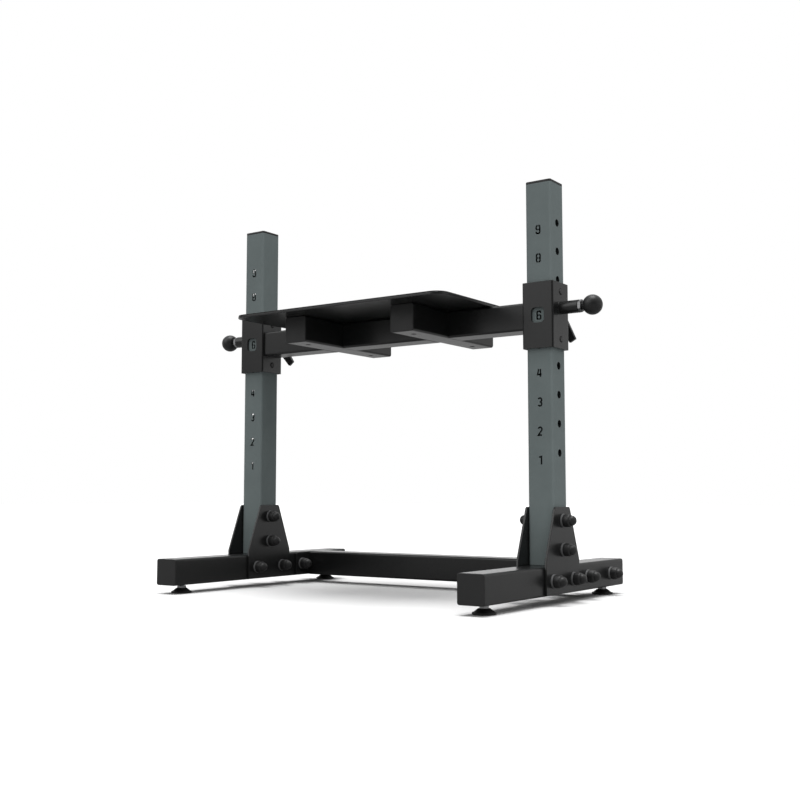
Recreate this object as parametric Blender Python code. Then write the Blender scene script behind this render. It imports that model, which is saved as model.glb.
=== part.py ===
"""Adjustable step-up platform.

Two square-tube uprights stand on two foot tubes. A platform hangs between them on two sleeves that
slide up and down the uprights, and a pull pin on each sleeve locks it at one of nine numbered holes.

Units are metres, +Z is up, +X is to the right and +Y is to the rear. The origin is on the floor,
midway between the uprights. The platform is drawn at position 6, with both pull pins held out.
"""

import math

import bmesh
import bpy
from mathutils import Matrix, Vector

# Clearances
SEAT_GAP = 0.0003            # between two pieces that rest on or are welded to each other
RUN_GAP = 0.0004             # between the liner and the upright that it slides on
TURN_GAP = 0.0003            # radial, around a shaft that turns or slides
BOLT_GAP = 0.0005            # radial, around a bolt in its hole
WELD_DEPTH = 0.0002          # how far a tube reaches into the plate that it is welded to

# Square tube
TUBE_SIDE = 0.060
TUBE_WALL = 0.003
TUBE_CORNER = 0.005
PLUG_THICKNESS = 0.003       # end plug, the part outside the tube
PLUG_DEPTH = 0.012           # end plug, the part inside the tube

# Base frame
UPRIGHT_SPACING = 0.814      # centre to centre
FOOT_LENGTH = 0.630
FOOT_CLEARANCE = 0.020       # floor to the underside of a foot tube
CROSS_TUBE_INSET = 0.130     # its centre from the rear end of the foot tubes
FLANGE_LENGTH = 0.164
FLANGE_HEIGHT = 0.058
FLANGE_THICKNESS = 0.005
FLANGE_CORNER = 0.008
FLANGE_BOLT_SPACING = 0.120
FLANGE_VENT_RADIUS = 0.006   # opening into the welded tube

# Uprights
UPRIGHT_LENGTH = 0.813
CAP_THICKNESS = 0.0050
HOLE_COUNT = 9
HOLE_PITCH = 0.0616
HOLE_RADIUS = 0.008
FIRST_HOLE_HEIGHT = 0.2340   # above the upright's lower end
DIGIT_DROP = 0.016           # a digit's centre lies this far below its hole
DIGIT_HEIGHT = 0.0200
DIGIT_WIDTH = 0.0122
DIGIT_STROKE = 0.0031
DIGIT_BEND = 0.0030          # where a stroke turns a corner
DIGIT_BRIDGE = 0.0014        # metal left between two strokes of one digit

# Gusset plates
GUSSET_THICKNESS = 0.005
GUSSET_WIDTH = 0.150
GUSSET_TOP_WIDTH = 0.066
GUSSET_RISE = 0.1215         # above the top of the foot tube
GUSSET_SHOULDER = 0.002      # where its edges start to slope, above the top of the foot tube
GUSSET_DROP = 0.058          # below the top of the foot tube
GUSSET_CORNER = 0.005
UPRIGHT_BOLT_HEIGHTS = (0.0325, 0.0930)
FOOT_BOLT_OFFSET = 0.046

# Frame bolts with domed covers over head and nut
BOLT_RADIUS = 0.006
COVER_FLANGE_RADIUS = 0.0145
COVER_FLANGE_HEIGHT = 0.003
COVER_BODY_RADIUS = 0.0132
COVER_BODY_HEIGHT = 0.015
COVER_DOME_RADIUS = 0.011
COVER_HEIGHT = 0.029

# Levelling feet
FOOT_PAD_INSET = 0.050       # pad centre from the end of the foot tube
PAD_RADIUS = 0.0235
PAD_RIM_HEIGHT = 0.0045
PAD_NECK_RADIUS = 0.012
PAD_HEIGHT = 0.012
STUD_FLATS = 0.018           # hexagon on the pad, to turn the stud by
STUD_FLATS_HEIGHT = 0.005
STUD_RADIUS = 0.0055
STUD_LENGTH = 0.034          # above the pad

# Sleeves and liners
DRAWN_POSITION = 6           # the numbered hole that the platform is drawn at
SLEEVE_WALL = 0.003
SLEEVE_CORNER = 0.004
SLEEVE_LENGTH = 0.142
LINER_WALL = 0.003
LINER_LENGTH = 0.138
WINDOW_WIDTH = 0.031
WINDOW_HEIGHT = 0.033
WINDOW_CORNER = 0.008
BUTTON_RADIUS = 0.0057       # liner buttons that snap into the sleeve's side holes
BUTTON_GAP = 0.0007          # radial, around a button
BUTTON_RISE = 0.0014         # beyond the sleeve's face
BUTTON_CHAMFER = 0.0012
BUTTON_OFFSET = 0.051        # above and below the sleeve's centre

# Pull pins, measured outwards from the sleeve's outer face
BARREL_RADIUS = 0.0135
BARREL_LENGTH = 0.0435
BARREL_BORE = 0.0092         # radius
PIN_NUT_FLATS = 0.024
PIN_NUT_HEIGHT = 0.007
PIN_SPIGOT_LENGTH = 0.012
NOSE_RADIUS = 0.0077
NOSE_CHAMFER = 0.0015
NOSE_LENGTH = 0.0115
COLLAR_RADIUS = 0.0089
COLLAR_LENGTH = 0.006
STEM_RADIUS = 0.005
PIN_INWARD_TRAVEL = 0.005    # from the drawn place to the locked place
BALL_RADIUS = 0.0210
BALL_FLAT = 0.0172           # ball centre to its flat
BALL_NECK_RADIUS = 0.0082
BALL_NECK_ENTRY = 0.0005     # how far the neck stands inside the nut as drawn
BALL_BORE_DEPTH = 0.016
SPRING_WIRE_RADIUS = 0.0008
SPRING_RADIUS = 0.0072       # centre line
SPRING_TURNS = 5

# Clamp levers on the sleeves' rear faces
BOSS_RADIUS = 0.0135
BOSS_LENGTH = 0.022
CLAMP_STUD_RADIUS = 0.006
CLAMP_TIP_GAP = 0.0006       # stud tip to the upright's rear face
HUB_RADIUS = 0.0115
LEVER_REACH = 0.0500         # stud axis to the lever's end
LEVER_END_WIDTH = 0.015
LEVER_THICKNESS = 0.0085
LEVER_BACK = 0.050           # sleeve's rear face to the lever's back
LEVER_ANGLES = {"left": -51.6, "right": -61.4}

# Platform
ARM_SPACING = 0.2985         # centre to centre
DECK_WIDTH = 0.577
DECK_DEPTH = 0.460
ARM_INSET = 0.060            # an arm's end from the deck's edge
DECK_THICKNESS = 0.005
DECK_CORNER = 0.029
MAT_THICKNESS = 0.0021
MAT_MARGIN = 0.001
DECK_BOLT_INSET = 0.047      # from an arm's end
DECK_BOLT_RADIUS = 0.003
DECK_BOLT_HEAD_RADIUS = 0.005
DECK_BOLT_HEAD_HEIGHT = 0.006
ACCESS_HOLE_RADIUS = 0.006   # under each deck bolt, wide enough for its head

# Facets: how many sides or steps round forms have
CORNER_STEPS = 2
DECK_CORNER_STEPS = 5
BOLT_SIDES = 10
ROUND_SIDES = 16
HOLE_SIDES = 12
DIGIT_STEP_DEGREES = 42
COVER_DOME_ANGLES = (52, 18)
BALL_STEPS = 7
HUB_STEPS = 9
SPRING_STEPS = 8
SPRING_WIRE_SIDES = 5
SHARP_ANGLE = 35             # degrees between faces from which an edge is shaded sharp

# Places worked out from the sizes above
FOOT_TOP = FOOT_CLEARANCE + TUBE_SIDE
UPRIGHT_BASE = FOOT_TOP + SEAT_GAP
SIDES = {"left": -1, "right": 1}
ENDS = {"front": -1, "rear": 1}
SLEEVE_INNER = TUBE_SIDE + 2 * (RUN_GAP + LINER_WALL + SEAT_GAP)
SLEEVE_SIDE = SLEEVE_INNER + 2 * SLEEVE_WALL
GUSSET_FACE = TUBE_SIDE / 2 + SEAT_GAP + GUSSET_THICKNESS
FLANGE_FACE = TUBE_SIDE / 2 + SEAT_GAP + FLANGE_THICKNESS
TUBE_CENTRE_Z = FOOT_TOP - TUBE_SIDE / 2
CROSS_TUBE_Y = FOOT_LENGTH / 2 - CROSS_TUBE_INSET
PIN_HEIGHT = DIGIT_DROP
ARM_SPAN = DECK_DEPTH - 2 * ARM_INSET
DECK_BOLT_OFFSET = ARM_SPAN / 2 - DECK_BOLT_INSET
DECK_LOW = TUBE_SIDE / 2 + SEAT_GAP
DECK_HIGH = DECK_LOW + DECK_THICKNESS
CARRIAGE_Z = UPRIGHT_BASE + FIRST_HOLE_HEIGHT + (DRAWN_POSITION - 1) * HOLE_PITCH - PIN_HEIGHT
ALONG_X = Matrix.Rotation(math.radians(90), 4, "Y")
ALONG_Y = Matrix.Rotation(math.radians(-90), 4, "X")


def clear_scene():
    """Remove every object that the file holds."""
    for item in list(bpy.data.objects):
        bpy.data.objects.remove(item, do_unlink=True)


def make_material(name, color, roughness, metallic):
    """Return a Principled material."""
    material = bpy.data.materials.new(name)
    material.use_nodes = True
    shader = material.node_tree.nodes["Principled BSDF"]
    shader.inputs["Base Color"].default_value = (*color, 1.0)
    shader.inputs["Roughness"].default_value = roughness
    shader.inputs["Metallic"].default_value = metallic
    return material


def circle(radius, sides):
    """Points around a circle, counter-clockwise."""
    return [
        (radius * math.cos(math.tau * i / sides), radius * math.sin(math.tau * i / sides))
        for i in range(sides)
    ]


def round_in_hole(radius, sides):
    """Radius of a many-sided hole whose flats stay outside a circle of the given radius."""
    return radius / math.cos(math.pi / sides)


def rounded_rectangle(width, height, corner, steps=CORNER_STEPS):
    """Outline of a rectangle with round corners, counter-clockwise."""
    points = []
    for x_sign, y_sign, start in ((1, 1, 0), (-1, 1, 90), (-1, -1, 180), (1, -1, 270)):
        for i in range(steps + 1):
            angle = math.radians(start + 90 * i / steps)
            x = x_sign * (width / 2 - corner) + corner * math.cos(angle)
            y = y_sign * (height / 2 - corner) + corner * math.sin(angle)
            points.append((x, y))
    return points


def arc(centre, radii, start, stop, step=DIGIT_STEP_DEGREES):
    """Points on an ellipse from one angle to another, in degrees."""
    count = max(1, math.ceil(abs(stop - start) / step))
    points = []
    for i in range(count + 1):
        angle = math.radians(start + (stop - start) * i / count)
        points.append((centre[0] + radii[0] * math.cos(angle), centre[1] + radii[1] * math.sin(angle)))
    return points


def ribbon(points, width):
    """Outline of a band of even width that follows a line of points."""
    line = [Vector(point) for point in points]
    left = []
    right = []
    for i, point in enumerate(line):
        before = (point - line[i - 1]).normalized() if i > 0 else None
        after = (line[i + 1] - point).normalized() if i < len(line) - 1 else None
        if before is None:
            before = after
        if after is None:
            after = before
        tangent = (before + after).normalized()
        normal = Vector((-tangent.y, tangent.x))
        reach = width / 2 / max(0.4, normal.dot(Vector((-before.y, before.x))))
        left.append(point + normal * reach)
        right.append(point - normal * reach)
    return [tuple(point) for point in left + right[::-1]]


def add_layers(bm, layers, matrix=Matrix(), hollow=False):
    """Skin a stack of (outline, height) layers that all have the same number of points.

    A solid stack is capped at its first and last layer. A hollow one joins its last layer to its first.
    """
    rings = [[bm.verts.new((x, y, height)) for x, y in outline] for outline, height in layers]
    pairs = list(zip(rings, rings[1:]))
    faces = []
    if hollow:
        pairs.append((rings[-1], rings[0]))
    else:
        faces += [bm.faces.new(rings[0]), bm.faces.new(rings[-1])]
    for here, there in pairs:
        for i, vert in enumerate(here):
            j = (i + 1) % len(here)
            faces.append(bm.faces.new((vert, here[j], there[j], there[i])))
    bmesh.ops.recalc_face_normals(bm, faces=faces)
    bmesh.ops.transform(bm, matrix=matrix, verts=[vert for ring in rings for vert in ring])


def add_prism(bm, outline, low, high, matrix=Matrix()):
    """Add a closed prism that stands on an outline in the XY plane."""
    add_layers(bm, [(outline, low), (outline, high)], matrix)


def add_tube(bm, outlines, low, high, matrix=Matrix()):
    """Add an open-ended tube between an outer and an inner outline."""
    outer, inner = outlines
    add_layers(bm, [(outer, low), (outer, high), (inner, high), (inner, low)], matrix, hollow=True)


def add_turned(bm, profile, sides, matrix=Matrix()):
    """Spin a profile of (radius, height) points that starts and ends on the Z axis."""
    verts = [bm.verts.new((radius, 0, height)) for radius, height in profile]
    edges = [bm.edges.new(pair) for pair in zip(verts, verts[1:])]
    known = set(bm.verts) - set(verts)
    bmesh.ops.spin(
        bm, geom=verts + edges, cent=(0, 0, 0), axis=(0, 0, 1), angle=math.tau, steps=sides, use_merge=True
    )
    fresh = [vert for vert in bm.verts if vert not in known]
    bmesh.ops.remove_doubles(bm, verts=fresh, dist=1e-6)
    fresh = [vert for vert in bm.verts if vert not in known]
    shell = {face for vert in fresh for face in vert.link_faces}
    bmesh.ops.recalc_face_normals(bm, faces=list(shell))
    bmesh.ops.transform(bm, matrix=matrix, verts=fresh)


def add_cylinder(bm, radius, low, high, sides, matrix=Matrix()):
    """Add a closed cylinder along Z."""
    add_prism(bm, circle(radius, sides), low, high, matrix)


def make_object(name, bm, material, location=(0, 0, 0), rotation=(0, 0, 0), parent=None, smooth=False):
    """Turn a bmesh into a placed object."""
    mesh = bpy.data.meshes.new(name)
    bm.to_mesh(mesh)
    bm.free()
    if smooth:
        mesh.shade_smooth()
        mesh.set_sharp_from_angle(angle=math.radians(SHARP_ANGLE))
    item = bpy.data.objects.new(name, mesh)
    if material is not None:
        mesh.materials.append(material)
    item.location = location
    item.rotation_euler = rotation
    item.parent = parent
    bpy.context.scene.collection.objects.link(item)
    return item


def make_empty(name, location, rotation=(0, 0, 0), parent=None):
    """Add an empty that carries pieces."""
    empty = bpy.data.objects.new(name, None)
    empty.location = location
    empty.rotation_euler = rotation
    empty.parent = parent
    bpy.context.scene.collection.objects.link(empty)
    return empty


def make_cutter(name, bm, location=(0, 0, 0), rotation=(0, 0, 0), parent=None):
    """Turn a bmesh into a hidden helper for a Boolean."""
    cutter = make_object(name, bm, None, location, rotation, parent)
    cutter.hide_render = True
    cutter.display_type = "WIRE"
    return cutter


def add_boolean(target, helper, operation):
    """Join a helper to a target, or cut it away."""
    modifier = target.modifiers.new(helper.name, "BOOLEAN")
    modifier.operation = operation
    modifier.solver = "EXACT"
    modifier.object = helper


def bent(points, bend=DIGIT_BEND):
    """A line of points with each inner corner cut to a short bow."""
    line = [Vector(point) for point in points]
    result = [line[0]]
    for before, corner, after in zip(line, line[1:], line[2:]):
        back = before - corner
        forth = after - corner
        reach = min(bend, back.length / 2, forth.length / 2)
        back = back.normalized() * reach
        forth = forth.normalized() * reach
        result += [corner + back, corner + (back + forth) * 0.29, corner + forth]
    return [tuple(point) for point in result + [line[-1]]]


def digit_strokes(digit):
    """Centre lines of a stencil digit, around its own centre, as (x, z) points.

    The second list holds the strokes that branch off those in the first.
    """
    a = (DIGIT_WIDTH - DIGIT_STROKE) / 2
    b = (DIGIT_HEIGHT - DIGIT_STROKE) / 2
    bowl = (a, b / 2)
    upper = (0, b / 2)
    lower = (0, -b / 2)
    bar = -0.4 * b
    gap = DIGIT_BRIDGE / 2
    if digit == 1:
        return [[(-0.7 * a, 0.66 * b), (0.15 * a, b), (0.15 * a, -b)]], []
    if digit == 2:
        return [arc((0, b - a), (a, a), 165, -25) + [(-a, -b), (a, -b)]], []
    if digit == 3:
        return [arc(upper, bowl, 150, -40) + [(0.3 * a, 0)] + arc(lower, bowl, 40, -150)], []
    if digit == 4:
        x = 0.6 * a
        slope = [(x - DIGIT_STROKE - DIGIT_BRIDGE, 0.86 * b), (-a, bar), (a, bar)]
        return [slope], [[(x, b), (x, -b)]]
    if digit == 5:
        return [[(a, b), (-a, b), (-a, 0.12 * b)] + arc((0, -0.45 * b), (a, 0.55 * b), 110, -150)], []
    if digit == 7:
        return [[(-a, b), (a, b), (-0.3 * a, -b)]], []
    if digit == 8:
        half = bent([(-gap, b), (-a, b), (-a, -b), (-gap, -b)])
        stub = [(-gap, 0), (-a, 0)]
        return [half, [(-x, z) for x, z in half[::-1]]], [stub, [(-x, z) for x, z in stub]]
    loop = bent([(-gap, b), (-a, b), (-a, 0), (-gap, 0)])
    tail = bent([(gap, b), (a, b), (a, -b), (-0.85 * a, -b)])
    stub = [(gap, 0), (a, 0)]
    if digit == 9:
        return [loop, tail], [stub]
    return [[(-x, -z) for x, z in stroke] for stroke in (loop, tail)], [[(-x, -z) for x, z in stub]]


def upright_x(side):
    """X of an upright's centre."""
    return SIDES[side] * UPRIGHT_SPACING / 2


def tube_outlines():
    """Outer and inner outline of a square tube."""
    inner_side = TUBE_SIDE - 2 * TUBE_WALL
    return (
        rounded_rectangle(TUBE_SIDE, TUBE_SIDE, TUBE_CORNER),
        rounded_rectangle(inner_side, inner_side, TUBE_CORNER - TUBE_WALL),
    )


def plug_mesh(thickness):
    """End plug for a square tube: a plate with a spigot behind it, the plate's back at height 0."""
    plate = rounded_rectangle(TUBE_SIDE, TUBE_SIDE, TUBE_CORNER)
    spigot_side = TUBE_SIDE - 2 * (TUBE_WALL + SEAT_GAP)
    spigot = rounded_rectangle(spigot_side, spigot_side, TUBE_CORNER - TUBE_WALL)
    bm = bmesh.new()
    add_layers(bm, [(plate, thickness), (plate, 0), (spigot, 0), (spigot, -PLUG_DEPTH)])
    return bm


def make_foot_tubes(steel, plastic):
    """The two tubes along the floor, with their end plugs."""
    tube_half = FOOT_LENGTH / 2 - PLUG_THICKNESS - SEAT_GAP
    for side, sign in SIDES.items():
        x = upright_x(side)
        bm = bmesh.new()
        add_tube(bm, tube_outlines(), -tube_half, tube_half, ALONG_Y)
        tube = make_object(f"foot_tube_{side}", bm, steel, (x, 0, TUBE_CENTRE_Z), smooth=True)
        bm = bmesh.new()
        bolt_hole = round_in_hole(BOLT_RADIUS + BOLT_GAP, BOLT_SIDES)
        for y in foot_bolt_places() + flange_bolt_places():
            place = Matrix.Translation((0, y, 0)) @ ALONG_X
            add_cylinder(bm, bolt_hole, -TUBE_SIDE, TUBE_SIDE, BOLT_SIDES, place)
        stud_hole = round_in_hole(STUD_RADIUS + TURN_GAP, HOLE_SIDES)
        for y_sign in ENDS.values():
            place = Matrix.Translation((0, y_sign * pad_offset(), -TUBE_SIDE / 2))
            add_cylinder(bm, stud_hole, -TUBE_WALL, 2 * TUBE_WALL, HOLE_SIDES, place)
        cutter = make_cutter(f"cut_foot_tube_{side}", bm, (x, 0, TUBE_CENTRE_Z))
        add_boolean(tube, cutter, "DIFFERENCE")
        for end, y_sign in ENDS.items():
            turn = (math.radians(-90 * y_sign), 0, 0)
            place = (x, y_sign * (tube_half + SEAT_GAP), TUBE_CENTRE_Z)
            make_object(
                f"foot_tube_plug_{side}_{end}", plug_mesh(PLUG_THICKNESS), plastic, place, turn, smooth=True
            )


def foot_bolt_places():
    """Y of the bolts that hold the gusset plates to a foot tube."""
    return [-FOOT_BOLT_OFFSET, FOOT_BOLT_OFFSET]


def flange_bolt_places():
    """Y of the bolts that hold the rear cross tube's flange to a foot tube."""
    return [CROSS_TUBE_Y - FLANGE_BOLT_SPACING / 2, CROSS_TUBE_Y + FLANGE_BOLT_SPACING / 2]


def pad_offset():
    """Distance from the middle of a foot tube to its levelling feet."""
    return FOOT_LENGTH / 2 - FOOT_PAD_INSET


def make_cross_tube(steel):
    """The rear tube between the foot tubes, with a welded flange at each end."""
    outer_face = UPRIGHT_SPACING / 2 - TUBE_SIDE / 2 - SEAT_GAP
    inner_face = outer_face - FLANGE_THICKNESS
    bm = bmesh.new()
    tube_half = inner_face + WELD_DEPTH
    add_tube(bm, tube_outlines(), -tube_half, tube_half, ALONG_X)
    tube = make_object("rear_cross_tube", bm, steel, (0, CROSS_TUBE_Y, TUBE_CENTRE_Z), smooth=True)
    flange_turn = ALONG_X @ Matrix.Rotation(math.radians(90), 4, "Z")
    for side, sign in SIDES.items():
        low, high = sorted((sign * inner_face, sign * outer_face))
        bm = bmesh.new()
        outline = rounded_rectangle(FLANGE_LENGTH, FLANGE_HEIGHT, FLANGE_CORNER)
        add_prism(bm, outline, low, high, flange_turn)
        flange = make_cutter(f"weld_flange_{side}", bm, (0, CROSS_TUBE_Y, TUBE_CENTRE_Z))
        add_boolean(tube, flange, "UNION")
    bm = bmesh.new()
    bolt_hole = round_in_hole(BOLT_RADIUS + BOLT_GAP, BOLT_SIDES)
    for y_sign in ENDS.values():
        place = Matrix.Translation((0, y_sign * FLANGE_BOLT_SPACING / 2, 0)) @ ALONG_X
        add_cylinder(bm, bolt_hole, -UPRIGHT_SPACING, UPRIGHT_SPACING, BOLT_SIDES, place)
    add_cylinder(bm, FLANGE_VENT_RADIUS, -UPRIGHT_SPACING, UPRIGHT_SPACING, BOLT_SIDES, ALONG_X)
    cutter = make_cutter("cut_cross_tube", bm, (0, CROSS_TUBE_Y, TUBE_CENTRE_Z))
    add_boolean(tube, cutter, "DIFFERENCE")


def make_uprights(steel, plastic):
    """The two uprights with selector holes, digits and caps."""
    for side, sign in SIDES.items():
        x = upright_x(side)
        bm = bmesh.new()
        add_tube(bm, tube_outlines(), 0, UPRIGHT_LENGTH)
        upright = make_object(f"upright_{side}", bm, steel, (x, 0, UPRIGHT_BASE), smooth=True)
        bm = bmesh.new()
        wall = TUBE_SIDE / 2
        facing_front = Matrix.Rotation(math.radians(90), 4, "X")
        selector_hole = round_in_hole(HOLE_RADIUS, HOLE_SIDES)
        branches = bmesh.new()
        for number in range(1, HOLE_COUNT + 1):
            height = FIRST_HOLE_HEIGHT + (number - 1) * HOLE_PITCH
            place = Matrix.Translation((sign * wall, 0, height)) @ ALONG_X
            add_cylinder(bm, selector_hole, -2 * TUBE_WALL, 2 * TUBE_WALL, HOLE_SIDES, place)
            place = Matrix.Translation((0, -wall, height - DIGIT_DROP)) @ facing_front
            for target, strokes in zip((bm, branches), digit_strokes(number)):
                for stroke in strokes:
                    add_prism(target, ribbon(stroke, DIGIT_STROKE), -2 * TUBE_WALL, 2 * TUBE_WALL, place)
        bolt_hole = round_in_hole(BOLT_RADIUS + BOLT_GAP, BOLT_SIDES)
        for height in UPRIGHT_BOLT_HEIGHTS:
            place = Matrix.Translation((0, 0, height - SEAT_GAP)) @ ALONG_X
            add_cylinder(bm, bolt_hole, -TUBE_SIDE, TUBE_SIDE, BOLT_SIDES, place)
        for name, mesh in (("cut", bm), ("branch", branches)):
            cutter = make_cutter(f"{name}_upright_{side}", mesh, (x, 0, UPRIGHT_BASE))
            add_boolean(upright, cutter, "DIFFERENCE")
        place = (x, 0, UPRIGHT_BASE + UPRIGHT_LENGTH + SEAT_GAP)
        make_object(f"upright_cap_{side}", plug_mesh(CAP_THICKNESS), plastic, place, smooth=True)


def gusset_outline():
    """Outline of a gusset plate: a rectangle beside the foot tube and a taper beside the upright."""
    half = GUSSET_WIDTH / 2
    top_half = GUSSET_TOP_WIDTH / 2
    apex = Vector((top_half, GUSSET_RISE))
    shoulder = Vector((half, GUSSET_SHOULDER))
    down = (shoulder - apex).normalized() * GUSSET_CORNER
    inward = Vector((-GUSSET_CORNER, 0))
    blunted = [apex + down, apex + (down + inward) / 3, apex + inward]
    right = [(half, -GUSSET_DROP), tuple(shoulder)] + [tuple(point) for point in blunted]
    return right + [(-x, z) for x, z in right[::-1]]


def make_gussets(steel):
    """Two plates on each upright, one on its outer and one on its inner side."""
    for side, sign in SIDES.items():
        for name, face in (("outer", sign), ("inner", -sign)):
            low, high = sorted((face * (TUBE_SIDE / 2 + SEAT_GAP), face * GUSSET_FACE))
            bm = bmesh.new()
            upright_plane = ALONG_X @ Matrix.Rotation(math.radians(90), 4, "Z")
            add_prism(bm, gusset_outline(), low, high, upright_plane)
            plate = make_object(f"gusset_{side}_{name}", bm, steel, (upright_x(side), 0, FOOT_TOP))
            bm = bmesh.new()
            bolt_hole = round_in_hole(BOLT_RADIUS + BOLT_GAP, BOLT_SIDES)
            places = [(0, height) for height in UPRIGHT_BOLT_HEIGHTS]
            places += [(y, -TUBE_SIDE / 2) for y in foot_bolt_places()]
            for y, z in places:
                place = Matrix.Translation((0, y, z)) @ ALONG_X
                add_cylinder(bm, bolt_hole, -TUBE_SIDE, TUBE_SIDE, BOLT_SIDES, place)
            cutter = make_cutter(f"cut_gusset_{side}_{name}", bm, (upright_x(side), 0, FOOT_TOP))
            add_boolean(plate, cutter, "DIFFERENCE")


def cover_profile(face):
    """One end of a covered bolt, from its tip inwards, for a bolt that ends on a face at this height."""
    seat = face + SEAT_GAP
    dome_base = seat + COVER_HEIGHT - COVER_DOME_RADIUS
    points = [(0, seat + COVER_HEIGHT)]
    for angle in COVER_DOME_ANGLES:
        turn = math.radians(angle)
        points.append((COVER_DOME_RADIUS * math.cos(turn), dome_base + COVER_DOME_RADIUS * math.sin(turn)))
    points += [
        (COVER_BODY_RADIUS, seat + COVER_BODY_HEIGHT),
        (COVER_BODY_RADIUS, seat + COVER_FLANGE_HEIGHT),
        (COVER_FLANGE_RADIUS, seat + COVER_FLANGE_HEIGHT),
        (COVER_FLANGE_RADIUS, seat),
        (BOLT_RADIUS, seat),
    ]
    return points


def make_bolt(name, low_face, high_face, location, material):
    """A bolt along X with a domed cover on each end."""
    high_end = cover_profile(high_face)
    low_end = [(radius, -height) for radius, height in cover_profile(-low_face)][::-1]
    bm = bmesh.new()
    add_turned(bm, high_end + low_end, BOLT_SIDES)
    make_object(name, bm, material, location, (0, math.radians(90), 0), smooth=True)


def make_bolts(material):
    """The bolts that hold the frame together."""
    for side, sign in SIDES.items():
        x = upright_x(side)
        for name, height in zip(("lower", "upper"), UPRIGHT_BOLT_HEIGHTS):
            place = (x, 0, FOOT_TOP + height)
            make_bolt(f"upright_bolt_{side}_{name}", -GUSSET_FACE, GUSSET_FACE, place, material)
        for name, y in zip(ENDS, foot_bolt_places()):
            place = (x, y, TUBE_CENTRE_Z)
            make_bolt(f"foot_bolt_{side}_{name}", -GUSSET_FACE, GUSSET_FACE, place, material)
        low, high = sorted((sign * TUBE_SIDE / 2, -sign * FLANGE_FACE))
        for name, y in zip(ENDS, flange_bolt_places()):
            place = (x, y, TUBE_CENTRE_Z)
            make_bolt(f"cross_tube_bolt_{side}_{name}", low, high, place, material)


def make_levelling_feet(material):
    """Four screw-in feet, each with its origin on its screw's axis at the floor."""
    profile = [
        (0, 0),
        (PAD_RADIUS, 0),
        (PAD_RADIUS, PAD_RIM_HEIGHT),
        (PAD_NECK_RADIUS, PAD_HEIGHT),
        (STUD_RADIUS, PAD_HEIGHT),
        (STUD_RADIUS, PAD_HEIGHT + STUD_LENGTH),
        (0, PAD_HEIGHT + STUD_LENGTH),
    ]
    for side in SIDES:
        for end, y_sign in ENDS.items():
            bm = bmesh.new()
            add_turned(bm, profile, ROUND_SIDES)
            place = (upright_x(side), y_sign * pad_offset(), 0)
            foot = make_object(f"levelling_foot_{side}_{end}", bm, material, place, smooth=True)
            bm = bmesh.new()
            add_prism(bm, hexagon(STUD_FLATS), PAD_HEIGHT - SEAT_GAP, PAD_HEIGHT + STUD_FLATS_HEIGHT)
            flats = make_cutter(f"join_flats_{side}_{end}", bm, place)
            add_boolean(foot, flats, "UNION")


def make_sleeve(side, carriage, steel):
    """A sleeve around an upright, with the pull pin's barrel and the clamp's boss welded on."""
    sign = SIDES[side]
    x = upright_x(side)
    half = SLEEVE_SIDE / 2
    outer = rounded_rectangle(SLEEVE_SIDE, SLEEVE_SIDE, SLEEVE_CORNER)
    inner = rounded_rectangle(SLEEVE_INNER, SLEEVE_INNER, SLEEVE_CORNER - SLEEVE_WALL)
    bm = bmesh.new()
    add_tube(bm, (outer, inner), -SLEEVE_LENGTH / 2, SLEEVE_LENGTH / 2)
    sleeve = make_object(f"sleeve_{side}", bm, steel, (x, 0, 0), parent=carriage, smooth=True)
    pin_line = Matrix.Translation((0, 0, PIN_HEIGHT)) @ ALONG_X
    weld_root = half - SLEEVE_WALL / 2
    bm = bmesh.new()
    low, high = sorted((sign * weld_root, sign * (half + BARREL_LENGTH)))
    add_cylinder(bm, BARREL_RADIUS, low, high, ROUND_SIDES, pin_line)
    add_cylinder(bm, BOSS_RADIUS, weld_root, half + BOSS_LENGTH, ROUND_SIDES, ALONG_Y)
    welded = make_cutter(f"weld_sleeve_{side}", bm, (x, 0, 0), parent=carriage)
    add_boolean(sleeve, welded, "UNION")
    bm = bmesh.new()
    low, high = sorted((sign * (half - 2 * SLEEVE_WALL), sign * (half + BARREL_LENGTH + SLEEVE_WALL)))
    add_cylinder(bm, round_in_hole(BARREL_BORE, ROUND_SIDES), low, high, ROUND_SIDES, pin_line)
    stud_hole = round_in_hole(CLAMP_STUD_RADIUS + TURN_GAP, HOLE_SIDES)
    add_cylinder(bm, stud_hole, half - 2 * SLEEVE_WALL, half + BOSS_LENGTH + SLEEVE_WALL, HOLE_SIDES, ALONG_Y)
    add_prism(
        bm,
        rounded_rectangle(WINDOW_WIDTH, WINDOW_HEIGHT, WINDOW_CORNER),
        -half - SLEEVE_WALL,
        -half + 2 * SLEEVE_WALL,
        ALONG_Y,
    )
    button_hole = round_in_hole(BUTTON_RADIUS + BUTTON_GAP, HOLE_SIDES)
    for x_sign in (-1, 1):
        for z_sign in (-1, 1):
            low, high = sorted((x_sign * (half - 2 * SLEEVE_WALL), x_sign * (half + SLEEVE_WALL)))
            place = Matrix.Translation((0, 0, z_sign * BUTTON_OFFSET)) @ ALONG_X
            add_cylinder(bm, button_hole, low, high, HOLE_SIDES, place)
    cutter = make_cutter(f"cut_sleeve_{side}", bm, (x, 0, 0), parent=carriage)
    add_boolean(sleeve, cutter, "DIFFERENCE")


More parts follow.
